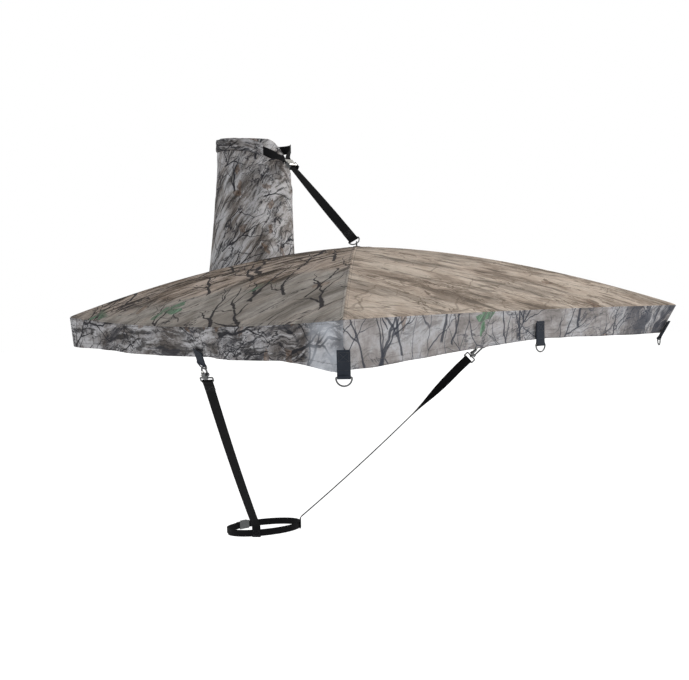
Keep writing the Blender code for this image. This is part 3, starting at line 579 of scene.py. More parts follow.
def build(name, verts, faces, material, matrix=None, print_at=None, body="canopy", instead_of=(),
          slot=None):
    mesh = bpy.data.meshes.new(name)
    mesh.from_pydata([tuple(map(float, v)) for v in verts], [], faces)
    mesh.materials.append(material)
    mesh.shade_smooth()
    if print_at is not None:
        mark(mesh, print_at)
    piece = bpy.data.objects.new(name, mesh)
    scene.collection.objects.link(piece)
    if matrix is not None:
        piece.matrix_world = matrix
    if body:
        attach(piece, body)
    if instead_of:
        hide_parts(*([instead_of] if isinstance(instead_of, str) else instead_of))
    return piece


def normals_of(grid):
    """Unit normals of a grid of points, across its first axis and then its second."""
    first = np.gradient(grid, axis=0)
    second = np.gradient(grid, axis=1)
    normal = np.cross(first, second)
    return normal / np.maximum(np.linalg.norm(normal, axis=-1, keepdims=True), 1e-12)


class Panel:
    """A cloth panel: place(u, v) gives its points, and printed(u, v) where each lies on the cloth."""

    def __init__(self, name, columns, rows, place, printed, material, node, slot, flat, area=None,
                 held="stretched", rests_on=(), pale=None, thickness=0.0007, back=None):
        u, v = np.meshgrid(np.linspace(0, 1, columns + 1), np.linspace(0, 1, rows + 1), indexing="ij")
        self.grid = place(u, v)
        self.normals = normals_of(self.grid)
        index = np.arange((columns + 1) * (rows + 1)).reshape(columns + 1, rows + 1)
        faces = np.stack([index[:-1, :-1], index[1:, :-1], index[1:, 1:], index[:-1, 1:]], -1)
        cloth = np.stack(printed(u, v), -1).reshape(-1, 3)
        self.piece = build(name, self.grid.reshape(-1, 3), faces.reshape(-1, 4).tolist(), material,
                           print_at=cloth, instead_of=node, slot=slot)
        mesh = self.piece.data
        # pale, when given, carries painted light: how far each point is paled by light shining through the
        # cloth.
        if pale is not None:
            values = pale(u, v).astype(np.float32).ravel()
            mesh.attributes.new("pale", "FLOAT", "POINT").data.foreach_set("value", values)
        mesh.materials.append(back or BACK_PRINT)
        shell = self.piece.modifiers.new("Thickness", "SOLIDIFY")
        shell.thickness = thickness
        shell.offset = -1
        shell.material_offset = 1

    def along(self, u, v):
        """Points and normals on the panel at u and v, each from 0 to 1."""
        u = np.clip(u, 0, 1) * (self.grid.shape[0] - 1)
        v = np.clip(v, 0, 1) * (self.grid.shape[1] - 1)
        i = np.minimum(u.astype(int), self.grid.shape[0] - 2)
        j = np.minimum(v.astype(int), self.grid.shape[1] - 2)
        f, g = (u - i)[:, None], (v - j)[:, None]

        def sample(field):
            return ((field[i, j] * (1 - f) + field[i + 1, j] * f) * (1 - g)
                    + (field[i, j + 1] * (1 - f) + field[i + 1, j + 1] * f) * g)

        return sample(self.grid), sample(self.normals)


THREAD_RADIUS = 0.00030
THREAD_LIFT = 0.0001
BOX_PITCH = 0.0024
BOX_LENGTH = 0.0018


def stitched(name, lines, material, pitch=0.0042, length=0.0029):
    """Short threads along each (points, normals) line, their ends dipping into the cloth."""
    radius, lift = THREAD_RADIUS, THREAD_LIFT
    verts, faces = [], []
    for points, normals in lines:
        points = np.asarray(points, float)
        steps = np.linalg.norm(np.diff(points, axis=0), axis=1)
        travelled = np.concatenate([[0], np.cumsum(steps)])
        count = max(1, int(travelled[-1] / pitch))

        def at(distance):
            return np.stack([np.interp(distance, travelled, points[:, k]) for k in range(3)])

        for k in range(count):
            middle = (k + 0.5) * travelled[-1] / count
            start, end = at(middle - length / 2), at(middle + length / 2)
            along = (end - start) / max(np.linalg.norm(end - start), 1e-9)
            out = np.stack([np.interp(middle, travelled, normals[:, j]) for j in range(3)])
            out = out - along * out.dot(along)
            out /= max(np.linalg.norm(out), 1e-9)
            side = np.cross(along, out)
            base = len(verts)
            for centre, rise, size in ((start, lift - radius * 0.6, 0.6),
                                       (at(middle), lift + radius * 0.5, 1.0),
                                       (end, lift - radius * 0.6, 0.6)):
                heart = centre + out * rise
                for a, b in ((1, 0), (0, 1), (-1, 0), (0, -1)):
                    verts.append(heart + side * a * radius * 1.3 * size + out * b * radius * size)
            for ring in range(2):
                for m in range(4):
                    first, second = base + ring * 4 + m, base + ring * 4 + (m + 1) % 4
                    faces.append((first, second, second + 4, first + 4))
            faces.append((base + 3, base + 2, base + 1, base))
            faces.append((base + 8, base + 9, base + 10, base + 11))
    build(name, verts, faces, material)


def border(panel, start, inset, count):
    """Lines beside a panel's four edges, for stitched()."""
    edge = np.linspace(start, 1 - start, count)
    low, high = np.full_like(edge, inset), np.full_like(edge, 1 - inset)
    return [panel.along(low, edge), panel.along(high, edge), panel.along(edge, low), panel.along(edge, high)]


def tube_mesh(points, radius, sides=14, closed=False):
    """Points and faces of a round bar along a line, capped unless it is closed."""
    points = np.asarray(points, float)
    count = len(points)
    if closed:
        tangent = np.roll(points, -1, 0) - np.roll(points, 1, 0)
    else:
        tangent = np.gradient(points, axis=0)
    tangent /= np.linalg.norm(tangent, axis=1, keepdims=True)
    guide = np.array([0.31, 0.17, 0.93]) if abs(tangent[0][2]) < 0.8 else np.array([0.93, 0.31, 0.17])
    side = np.cross(tangent[0], guide)
    radius = np.broadcast_to(radius, count)
    verts = []
    frames = []
    for k in range(count):
        side = side - tangent[k] * side.dot(tangent[k])
        side /= np.linalg.norm(side)
        frames.append((side, np.cross(tangent[k], side)))
    drift = 0.0
    if closed:
        start, end = frames[0][0], frames[-1][0]
        end = end - tangent[0] * end.dot(tangent[0])
        drift = math.atan2(end.dot(frames[0][1]), end.dot(start))
    for k, (first, second) in enumerate(frames):
        for m in range(sides):
            turn = math.tau * m / sides - drift * k / count
            verts.append(points[k] + (first * math.cos(turn) + second * math.sin(turn)) * radius[k])
    faces = []
    for k in range(count if closed else count - 1):
        for m in range(sides):
            a, b = k * sides + m, k * sides + (m + 1) % sides
            c, d = ((k + 1) % count) * sides + (m + 1) % sides, ((k + 1) % count) * sides + m
            faces.append((a, b, c, d))
    if not closed:
        faces.append(tuple(range(sides - 1, -1, -1)))
        faces.append(tuple(range((count - 1) * sides, count * sides)))
    return verts, faces


def tube(name, points, radius, material, sides=14, closed=False, **more):
    verts, faces = tube_mesh(points, radius, sides, closed)
    return build(name, verts, faces, material, **more)


def ribbon(name, route, material, instead_of, slot):
    """Webbing with rounded selvedges along a route of (centre, half-width vector) pairs."""
    centres, halves = zip(*route)
    centres, halves = np.asarray(centres, float), np.asarray(halves, float)
    tangent = np.gradient(centres, axis=0)
    normal = np.cross(tangent, halves)
    normal /= np.linalg.norm(normal, axis=1, keepdims=True)
    steps = np.linalg.norm(np.diff(centres, axis=0), axis=1)
    along = np.concatenate([[0], np.cumsum(steps)])
    shares = [-1.0, -0.985, -0.94, -0.6, -0.2, 0.2, 0.6, 0.94, 0.985, 1.0]
    heights = [0.10, 0.36, 0.5, 0.46, 0.46, 0.46, 0.46, 0.5, 0.36, 0.10]
    outline = list(zip(shares, heights)) + [(s, -h) for s, h in reversed(list(zip(shares, heights)))]
    sides = len(outline)
    verts, cloth = [], []
    for k in range(len(centres)):
        width = float(np.linalg.norm(halves[k]))
        for share, height in outline:
            verts.append(centres[k] + halves[k] * share + normal[k] * height * WEBBING)
            cloth.append((along[k], share * width))
    faces = []
    for k in range(len(centres) - 1):
        for m in range(sides):
            a, b = k * sides + m, k * sides + (m + 1) % sides
            faces.append((a, a + sides, b + sides, b))
    last = (len(centres) - 1) * sides
    for m in range(sides // 2 - 1):
        low, high = m, sides - 1 - m
        faces.append((low, low + 1, high - 1, high))
        faces.append((last + low, last + high, last + high - 1, last + low + 1))
    build(name, verts, faces, material, print_at=np.array(cloth), instead_of=instead_of, slot=slot)


def lathe(name, profile, material, matrix, steps=40, **more):
    """A closed (radius, height) profile turned about z; points on the axis are shared."""
    verts, faces, rings = [], [], []
    for radius, height in profile:
        if radius < 1e-9:
            rings.append([len(verts)] * steps)
            verts.append((0, 0, height))
        else:
            rings.append(list(range(len(verts), len(verts) + steps)))
            turns = [math.tau * k / steps for k in range(steps)]
            verts += [(radius * math.cos(turn), radius * math.sin(turn), height) for turn in turns]
    for first, second in zip(rings, rings[1:]):
        for k in range(steps):
            corners = (first[k], second[k], second[(k + 1) % steps], first[(k + 1) % steps])
            face = tuple(dict.fromkeys(corners))
            if len(face) > 2:
                faces.append(face)
    return build(name, verts, faces, material, matrix=matrix, **more)


def box_mesh(low, high):
    (a, b, c), (d, e, f) = low, high
    verts = [(a, b, c), (d, b, c), (d, e, c), (a, e, c), (a, b, f), (d, b, f), (d, e, f), (a, e, f)]
    faces = [(3, 2, 1, 0), (4, 5, 6, 7), (0, 1, 5, 4), (1, 2, 6, 5), (2, 3, 7, 6), (3, 0, 4, 7)]
    return verts, faces


def cast(name, shapes, holes, material, matrix, body, instead_of, voxel=0.00035):
    """Shapes fused into one smooth casting, and then cut by holes. Each is (points, faces)."""
    verts, faces = [], []
    for more, sides in shapes:
        faces += [tuple(k + len(verts) for k in face) for face in sides]
        verts += [tuple(map(float, v)) for v in more]
    piece = build(name, verts, faces, material, body=None)
    fuse = piece.modifiers.new("Fuse", "REMESH")
    fuse.mode = "VOXEL"
    fuse.voxel_size = voxel
    fuse.use_smooth_shade = True
    soften = piece.modifiers.new("Soften", "SMOOTH")
    soften.factor = 0.5
    soften.iterations = 3
    cutters = []
    for more, sides in holes:
        cutter = build("cutter", more, sides, material, body=None)
        cutter.hide_render = True
        cutters.append(cutter)
        hole = piece.modifiers.new("Hole", "BOOLEAN")
        hole.solver = "EXACT"
        hole.object = cutter
    settle(piece)
    for cutter in cutters:
        bpy.data.objects.remove(cutter, do_unlink=True)
    piece.matrix_world = matrix
    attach(piece, body)
    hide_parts(instead_of)


def settle(piece):
    """Applies a piece's modifiers."""
    bpy.context.view_layer.update()
    evaluated = piece.evaluated_get(bpy.context.evaluated_depsgraph_get())
    mesh = bpy.data.meshes.new_from_object(evaluated)
    piece.modifiers.clear()
    piece.data = mesh
    mesh.shade_smooth()


def frame_at(origin, x_axis, z_axis):
    z = Vector(z_axis).normalized()
    y = z.cross(Vector(x_axis)).normalized()
    x = y.cross(z)
    return Matrix.Translation(origin) @ Matrix((x, y, z)).transposed().to_4x4()


# --- The roof ----------------------------------------------------------------------------------

def roof_height(x, y):
    across = np.asarray(x) / HALF_WIDTH
    along = (np.asarray(y) - APEX_Y) / HALF_LENGTH
    out = np.maximum(np.maximum(np.abs(across), np.abs(along)), 1e-6)
    height = APEX_RISE * (1 - out ** RIDGE_POWER)
    side = np.abs(across) >= np.abs(along)
    height = np.where(side, height - SIDE_SAG * (1 - (along / out) ** 2) * out ** 3, height)
    front = ~side & (along < 0)
    return np.where(front, height + FRONT_LIFT * (1 - (across / out) ** 2) * out ** 3, height)


def hanging(side, x, y, down):
    """The valance's points: down is 0 at the rim and 1 at the hem."""
    drop = VALANCE_DROP[side] + np.zeros_like(x)
    reach = {"front": 0.30, "left": 0.12}.get(side)
    if reach:
        corner = CORNERS["front_left"]
        drop = drop + CORNER_DROP * bell(np.hypot(x - corner[0], y - corner[1]), reach)
    if side in ("left", "rear"):
        corner = CORNERS["rear_left"]
        drop = drop + 0.009 * bell(np.hypot(x - corner[0], y - corner[1]), 0.14)
    px, py = x.copy(), y.copy()
    pz = roof_height(x, y) - 0.0004 - down * drop
    for name, corner in CORNERS.items():
        lean = CORNER_LEAN[name] * down * bell(np.hypot(x - corner[0], y - corner[1]), 0.10)
        px = px - math.copysign(1, corner[0]) * lean
        py = py - math.copysign(1, corner[1]) * lean
    if side in ("left", "right"):
        pull = SIDE_PULL * down * bell(y - SIDE_PULL_Y, 0.13)
        px = px + (pull if side == "left" else -pull)
    return px, py, pz


GORES = {
    "front": ("front_right", "front_left", (0, -1)),
    "left": ("front_left", "rear_left", (-1, 0)),
    "right": ("rear_right", "front_right", (1, 0)),
    "rear": ("rear_left", "rear_right", (0, 1)),
}
GRAIN = math.radians(-46)
INNER = 0.012
SEAM_INSET = 0.007
HOLE_RADIUS = 0.1085
HOLE_SHARE = 0.98


def gore_plan(side, u, v):
    """Where a gore's point lies in plan: u from corner to corner, v from the apex to the rim."""
    first, second, _ = GORES[side]
    out = INNER + (1 - INNER) * v
    x = (CORNERS[first][0] * (1 - u) + CORNERS[second][0] * u) * out
    y = APEX_Y + (CORNERS[first][1] * (1 - u) + CORNERS[second][1] * u - APEX_Y) * out
    return x, y, out


def gore_points(side):
    outward = GORES[side][2]

    def place(u, v):
        x, y, out = gore_plan(side, u, v)
        ridge = np.minimum(u, 1 - u) * 2 * out
        rim = 1 - out
        height = roof_height(x, y) + 0.0008
        height = height + 0.0016 * ripple(x, y, 0.16, 1) * smooth(ridge, 0, 0.3) * smooth(rim, 0, 0.12)
        pucker = ripple(u * 60, v * 0 + 3, 1.0, 2) * np.exp(-rim / 0.05) * 0.0009 * smooth(rim, 0, 0.02)
        radial = ripple(u * 22, v * 2.2, 1.0, 3) * 0.0010 * smooth(ridge, 0, 0.15) * smooth(rim, 0, 0.1)
        seam = 0.0012 * bell(ridge * HALF_WIDTH, 0.004) - 0.0010 * np.clip(1 - rim / 0.008, 0, 1) ** 2
        height = height + pucker + radial + seam
        return np.stack([x + outward[0] * 0.0002, y + outward[1] * 0.0002, height], -1)

    return place


def gore_print(side):
    def printed(u, v):
        x, y, _ = gore_plan(side, u, v)
        near = v
        if side in ("left", "right"):
            near = 0.52 + 3.0 * (0.967 * np.abs(x) - 0.252 * y - 0.480)
        return (x * math.cos(GRAIN) + y * math.sin(GRAIN), y * math.cos(GRAIN) - x * math.sin(GRAIN), near)

    return printed


def gore_panel(side, material, cut_away=0.0):
    """One gore, stretched over the poles at its two ridges. cut_away is the area that a hole takes; it is not
    used, since the panel ignores the area it feeds.
    """
    across, away = (HALF_LENGTH, HALF_WIDTH) if side in ("left", "right") else (HALF_WIDTH, HALF_LENGTH)
    width, slant = 2 * across, round(math.hypot(away, APEX_RISE), 3)
    poles = sorted("pole_" + corner for corner in GORES[side][:2])
    return Panel("roof_gore_" + side, 132, 80, gore_points(side), gore_print(side), material,
                 "gore_" + side, "roof_cloth", (width, slant), width * slant / 2 - cut_away, "stretched",
                 poles)


def make_gores():
    panels = {side: gore_panel(side, material) for side, material in (
        ("front", FRONT_PRINT), ("left", SIDE_PRINT), ("right", FRONT_PRINT))}
    panels["rear"] = make_rear_gore()
    lines = []
    for side, panel in panels.items():
        width = 2 * (HALF_WIDTH if side in ("front", "rear") else HALF_LENGTH)
        v = np.linspace(0.07, 0.985, 260)
        u = SEAM_INSET / (width * v)
        lines += [panel.along(u, v), panel.along(1 - u, v)]
        u = np.linspace(0.006, 0.994, 300)
        lines.append(panel.along(u, np.full_like(u, 0.9895)))
    stitched("roof_topstitching", lines, THREAD)


def make_rear_gore():
    """The rear gore, cut round the trunk and slit behind it."""
    panel = gore_panel("rear", SIDE_PRINT, math.pi * HOLE_RADIUS ** 2 * HOLE_SHARE)
    mesh = panel.piece.data
    work = bmesh.new()
    work.from_mesh(mesh)
    drop = [vert for vert in work.verts if math.hypot(vert.co.x, vert.co.y) < HOLE_RADIUS - 0.004]
    bmesh.ops.delete(work, geom=drop, context="VERTS")
    for vert in work.verts:
        reach = math.hypot(vert.co.x, vert.co.y)
        if reach < HOLE_RADIUS + 0.0045:
            scale = HOLE_RADIUS / reach
            vert.co.x *= scale
            vert.co.y *= scale
            vert.co.z = float(roof_height(vert.co.x, vert.co.y)) + 0.0008
    slit = [edge for edge in work.edges if all(abs(v.co.x) < 1e-5 and v.co.y > 0 for v in edge.verts)]
    bmesh.ops.split_edges(work, edges=slit)
    for face in work.faces:
        side = math.copysign(1, face.calc_center_median().x)
        for vert in face.verts:
            if abs(vert.co.x) < 1e-5 and vert.co.y > 0:
                vert.co.x = side * 0.0001
    work.to_mesh(mesh)
    work.free()
    return panel


def crumpled(side, along, x, down, spots):
    """How far the valance stands out from its plain hang, with folds drawn to the sewn tabs."""
    free = smooth(down, 0.0, 0.4)
    z = down * VALANCE_DROP[side]
    out = 0.0014 * ripple(along, z, 0.11, 5) + 0.0009 * ripple(along, z * 1.6, 0.036, 6)
    out = out + 0.0008 * ripple(along * 0.35, z, 0.018, 7)
    out = out + 0.0022 * ripple(along, z * 0.15, 0.085, 8) * down
    if side == "left":
        near = bell(along - 0.895, 0.055)
        out = out + near * 0.0045 * ripple(along * 0.8 + z, z * 1.3, 0.022, 9)
        out = out + 0.0030 * ripple(along * 0.22, z, 0.020, 10) * smooth(along, -0.1, 0.3)
    if side == "front":
        near = smooth(x, 0.30, 0.50)
        out = out + near * 0.0026 * ripple(along + z * 1.4, z - along * 0.3, 0.024, 11)
        out = out + 0.0012 * ripple(along, z * 0.7, 0.019, 12) * smooth(x, -0.15, 0.0)
    quiet = np.ones_like(out)
    for place, level, strength in spots:
        gap = np.hypot(along - place, z - level)
        angle = np.arctan2(level - z, along - place)
        out = out + strength * np.sin(angle * 9 + 0.6) * bell(gap, 0.055) * smooth(gap, 0.012, 0.035)
        quiet = quiet * (1 - 0.85 * bell(gap, 0.024))
    hem = 0.0006 * smooth(down, 0.845, 0.86)
    return free * out * quiet * (1 - 0.3 * smooth(down, 0.8, 1.0)) + hem


HEM_TURNING = 0.012


def make_valance(name, side, start, end, material, spots=(), pale=None, columns=220):
    """A drop strip along the rim. along grows to the right as it is seen from outside."""
    start, end = np.array(start, float), np.array(end, float)
    length = float(np.linalg.norm(end - start))
    outward = np.array({"front": (0, -1), "left": (-1, 0), "right": (1, 0), "rear": (0, 1)}[side], float)

    def locate(u):
        x = start[0] + (end[0] - start[0]) * u
        y = start[1] + (end[1] - start[1]) * u
        along = {"front": x, "left": -y, "right": y, "rear": -x}[side]
        return x, y, along

    def place(u, v):
        x, y, along = locate(u)
        px, py, pz = hanging(side, x, y, v)
        ends = smooth(np.minimum(u, 1 - u) * length, 0.0, 0.012)
        out = 0.0008 + crumpled(side, along, x, v, spots) * ends
        if side == "front":
            pz = pz + 0.0035 * v * bell(x - 0.04, 0.15)
        scallop = 0.0009 * ripple(along, 0 * along, 0.045, 14) * smooth(v, 0.7, 1.0) * ends
        return np.stack([px + outward[0] * out, py + outward[1] * out, pz + scallop], -1)

    def printed(u, v):
        _, _, along = locate(u)
        return along, -v * VALANCE_DROP[side], v

    drop = VALANCE_DROP[side] + HEM_TURNING
    panel = Panel(name.replace("valance", "drop_cloth"), columns, 22, place, printed, material, name,
                  "valance_cloth", (round(length, 4), round(drop, 3)), None, "hung", ["gore_" + side], pale)
    u = np.linspace(0.004, 0.996, int(length * 320))
    lines = [panel.along(u, np.full_like(u, 0.845)), panel.along(u, np.full_like(u, 0.050))]
    stitched(name.replace("valance", "hem_stitching"), lines, THREAD)


def make_valances():
    inset = -0.0008
    left, right = -HALF_WIDTH, HALF_WIDTH

    # Painted light: a pale patch on the left valance by the front corner, standing in for light shining
    # through the cloth; it fades out away from the front end and is weaker at mid drop.
    def pale(u, v):
        y = FRONT_Y + inset + (REAR_Y - FRONT_Y) * u
        near = smooth(-y, 0.935, 0.985)
        band = 0.55 + 0.45 * ripple(y * 1.0, v * 0.09 + y * 0.5, 0.030, 21)
        return np.clip(near * band * (1.0 - 0.5 * bell(v - 0.45, 0.13)), 0, 1)

    make_valance("valance_front", "front", (right - inset, FRONT_Y), (left + inset, FRONT_Y), VALANCE_PRINT,
                 [(0.010, 0.060, 0.0010), (0.500, 0.060, 0.0022), (-0.530, 0.080, 0.0008)])
    make_valance("valance_left", "left", (left, FRONT_Y + inset), (left, REAR_Y - inset), SIDE_VALANCE_PRINT,
                 [(0.4625, 0.066, 0.0024), (1.055, 0.085, 0.0010)], pale)
    make_valance("valance_right", "right", (right, REAR_Y - inset), (right, FRONT_Y + inset),
                 SIDE_VALANCE_PRINT, [(-0.4625, 0.064, 0.0024), (-1.055, 0.060, 0.0018)])
    make_valance("valance_rear_left", "rear", (left + inset, REAR_Y), (-0.001, REAR_Y), VALANCE_PRINT,
                 columns=110)
    make_valance("valance_rear_right", "rear", (0.001, REAR_Y), (right - inset, REAR_Y), VALANCE_PRINT,
                 columns=110)

    def closure(u, v):
        puff = 0.0005 * ripple(u * 0.044, v * 0.062, 0.015, 15)
        return np.stack([0.044 * u - 0.022, np.full_like(u, REAR_Y + 0.0024) + puff, -0.004 - 0.062 * v], -1)

    def flat(u, v):
        return 0.044 * u, 0.062 * v, v

    strip = Panel("rear_closure_tape", 24, 32, closure, flat, HOOK_LOOP, "rear_closure", "hook_and_loop",
                  (0.044, 0.062), None, "laid", ["valance_rear_left", "valance_rear_right"],
                  thickness=0.0011, back=HOOK_LOOP)
    stitched("rear_closure_stitching", border(strip, 0.03, 0.04, 40), BLACK_THREAD)


def make_ridge_tapes():
    inner, outer = 0.075, 0.90
    lines = []
    for name, corner in CORNERS.items():
        heading = np.array([corner[0], corner[1] - APEX_Y])
        length = float(np.linalg.norm(heading))
        heading /= length
        sideways = np.array([-heading[1], heading[0]])

        def place(u, v, sideways=sideways, heading=heading, length=length):
            away = (inner + (outer - inner) * v) * length
            x = heading[0] * away + sideways[0] * 0.010 * (2 * u - 1)
            y = APEX_Y + heading[1] * away + sideways[1] * 0.010 * (2 * u - 1)
            return np.stack([x, y, roof_height(x, y) - 0.0007], -1)

        def printed(u, v, length=length):
            return v * length * (outer - inner), u * 0.020, v

        tape = Panel("ridge_binding_" + name, 8, 90, place, printed, TAPE, "ridge_tape_" + name, "seam_tape",
                     (0.020, round(length * (outer - inner), 3)), None, "stretched", [], thickness=0.0006,
                     back=TAPE)
        v = np.linspace(0.004, 0.996, 260)
        for u in (0.14, 0.86):
            points, normals = tape.along(np.full_like(v, u), v)
            points = points - np.sign(normals[:, 2:]) * normals * 0.0007
            lines.append((points, -np.sign(normals[:, 2:]) * normals))
    stitched("ridge_binding_stitching", lines, BLACK_THREAD)


# --- Poles and the apex ------------------------------------------------------------------------

LEVEL_END = 0.045
POLE_START = 0.009
POLE_END = 0.955
POLE_RADIUS = 0.0040
POCKET_RADIUS = 0.006


def ridge_height(out):
    return APEX_RISE * (1 - abs(out) ** RIDGE_POWER)


def pole_point(corner, out):
    x = CORNERS[corner][0] * out
    y = APEX_Y + (CORNERS[corner][1] - APEX_Y) * out
    return Vector((x, y, ridge_height(max(out, LEVEL_END)) - POLE_DROP))


def make_poles():
    for name, corner in CORNERS.items():
        start = POLE_START / math.hypot(corner[0], corner[1] - APEX_Y)
        outs = [start, start * 1.8, start * 2.5] + list(np.linspace(LEVEL_END, POLE_END, 70))
        points = [pole_point(name, out) for out in outs]
        tube("spread_pole_" + name, points, POLE_RADIUS, GLASS_ROD, 20, instead_of="pole_" + name,
             slot="fibreglass")
        tip = pole_point(name, POLE_END)
        spot = frame_at(tip, Z, tip - pole_point(name, POLE_END - 0.01))
        cup = [(0, 0.0025), (0.0030, 0.0024), (0.0052, 0.0019), (0.0060, 0.0008), (0.0062, -0.001)]
        cup += [(0.0062 + 0.0001 * math.sin(k * 2.1), -0.001 - 0.0020 * k) for k in range(1, 13)]
        cup += [(0.0063, -0.0262), (0.0065, -0.0270), (0.0065, -0.0292), (0.0061, -0.0300),
                (0.0052, -0.0300), (0.0050, -0.0290), (0.0050, 0.0006), (0.0044, 0.0010), (0, 0.0010)]
        pocket = lathe("pole_pocket_" + name, cup, BLACK_WEB, spot, 32, instead_of="corner_pocket_" + name,
                       slot="black_webbing")
        mark(pocket.data, [(vert.co.z, math.atan2(vert.co.y, vert.co.x) * POCKET_RADIUS)
                           for vert in pocket.data.vertices])


EYE_RADIUS = 0.0050
EYE_WIRE = 0.0014
PATCH_Z = APEX_RISE + 0.0016
WASHER_Z = PATCH_Z + 0.0016
EYE = Vector((0, APEX_Y, WASHER_Z + 0.0016 + EYE_RADIUS + EYE_WIRE))
EYE_HOLE_AXIS = Vector((0.84, -0.54, 0))
SUSPENSION_TWIST = math.radians(-40)


def make_apex():
    def patch(u, v):
        x = 0.028 * (2 * u - 1)
        y = APEX_Y + 0.028 * (2 * v - 1)
        away = np.hypot(x, y - APEX_Y)
        height = roof_height(x, y) + 0.0026 + 0.0003 * ripple(x, y, 0.012, 16) * smooth(away, 0.010, 0.02)
        return np.stack([x, y, height], -1)

    def flat(u, v):
        return 0.056 * u, 0.056 * v, v * 0

    cloth = Panel("apex_reinforcement", 40, 40, patch, flat, SIDE_PRINT, "apex_patch", "roof_cloth",
                  (0.056, 0.056), None, "laid", ["gore_front"], thickness=0.0009)
    stitched("apex_stitching", border(cloth, 0.05, 0.06, 50), THREAD)
    at_apex = Matrix.Translation((0, APEX_Y, 0))
    washer = [(0.0027, WASHER_Z), (0.0086, WASHER_Z), (0.0090, WASHER_Z + 0.0004),
              (0.0090, WASHER_Z + 0.0008), (0.0086, WASHER_Z + 0.0012), (0.0030, WASHER_Z + 0.0012),
              (0.0027, WASHER_Z + 0.0009), (0.0027, WASHER_Z)]
    lathe("apex_washer", washer, NICKEL, at_apex, 48, instead_of="eye_washer", slot="dark_nickel")

    place = frame_at(EYE, Z, EYE_HOLE_AXIS)
    low = ridge_height(LEVEL_END) - POLE_DROP - 0.0035
    circle = [(EYE_RADIUS * math.cos(math.tau * k / 60), EYE_RADIUS * math.sin(math.tau * k / 60), 0)
              for k in range(60)]
    foot = EYE.z - EYE_RADIUS
    shank = [(-(EYE.z - z), 0, 0) for z in np.linspace(low, foot, 40)]
    collar = [(-(EYE_RADIUS + 0.0016), 0, 0), (-(EYE_RADIUS + 0.0006), 0, 0)]
    cast("eye_bolt_forged", [tube_mesh(circle, EYE_WIRE, 20, True), tube_mesh(shank, 0.0022, 24),
                             tube_mesh(collar, 0.0030, 24)],
         [], NICKEL, place, "canopy", "eye_bolt", 0.00026)
    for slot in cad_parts["frame_hub"].material_slots:
        slot.material = MOULDED


# --- Webbing, rings and tabs -------------------------------------------------------------------

def ring_points():
    """A D: a straight bar along x, round corners, and a half-ellipse bow towards -z."""
    corner = 0.0015
    points = []
    for k in range(9):
        turn = math.radians(90 - 90 * k / 8)
        points.append((RING_HALF_WIDTH - corner + corner * math.cos(turn), 0,
                       -corner + corner * math.sin(turn)))
    bow = RING_DROP - corner
    for k in range(1, 48):
        turn = math.pi * k / 48
        points.append((RING_HALF_WIDTH * math.cos(turn), 0, -corner - bow * math.sin(turn)))
    for k in range(9):
        turn = math.radians(180 - 90 * k / 8)
        points.append((-RING_HALF_WIDTH + corner + corner * math.cos(turn), 0,
                       -corner + corner * math.sin(turn)))
    for k in range(1, 12):
        points.append((-RING_HALF_WIDTH + corner + (2 * RING_HALF_WIDTH - 2 * corner) * k / 12, 0, 0))
    return points


def make_ring(node, bar_centre, bar_axis, up, body):
    tube(node + "_wire", ring_points(), RING_WIRE, NICKEL, 16, True,
         matrix=frame_at(bar_centre, bar_axis, up), body=body, instead_of=node, slot="dark_nickel")


def folded_end(bar_centre, up, outward, bar_radius, long_ply, short_ply, half):
    """Webbing that comes down, goes round a bar and comes back up behind itself."""
    loop = bar_radius + 0.00035 + WEBBING / 2
    apart = WEBBING / 2 + 0.0002
    route = []
    for k in range(24):
        height = long_ply + (2.6 * loop - long_ply) * k / 23
        route.append((bar_centre + outward * apart + up * height, half))
    for k in range(41):
        turn = math.radians(50 - 7 * k)
        route.append((bar_centre + outward * loop * math.cos(turn) + up * loop * math.sin(turn), half))
    for k in range(24):
        height = 2.6 * loop + (short_ply - 2.6 * loop) * k / 23
        route.append((bar_centre - outward * apart + up * height, half))
    return route


def box_stitch(centre, up, across, outward, height, half):
    """A sewn box with a cross in it on the outer ply."""
    low, high = centre - up * height / 2, centre + up * height / 2
    corners = [low - across * half, low + across * half, high + across * half, high - across * half]
    pairs = [(0, 1), (1, 2), (2, 3), (3, 0), (0, 2), (1, 3)]
    lines = []
    for a, b in pairs:
        points = np.array([tuple(corners[a].lerp(corners[b], k / 20)) for k in range(21)])
        lines.append((points, np.tile(np.array(tuple(outward)), (21, 1))))
    return lines


def make_tab(place, bar_centre, up, outward, ring_up=None, ring_body="canopy"):
    bar_axis = up.cross(outward).normalized()
    half = bar_axis * WEBBING_WIDTH / 2
    route = folded_end(bar_centre, up, outward, RING_WIRE, TAB_LENGTH, TAB_LENGTH - 0.004, half)
    ribbon("sewn_tab_" + place, route, TAB_WEB, "tab_" + place, "charcoal_webbing")
    surface = bar_centre + outward * (WEBBING / 2 + 0.0002 + WEBBING / 2)
    stitched("tab_stitching_" + place,
             box_stitch(surface + up * 0.037, up, bar_axis, outward, 0.017, 0.0095)
             + box_stitch(surface + up * 0.0125, up, bar_axis, outward, 0.0001, 0.0105)[:1],
             BLACK_THREAD, BOX_PITCH, BOX_LENGTH)
    make_ring("ring_" + place, bar_centre, bar_axis, ring_up or Z, ring_body)


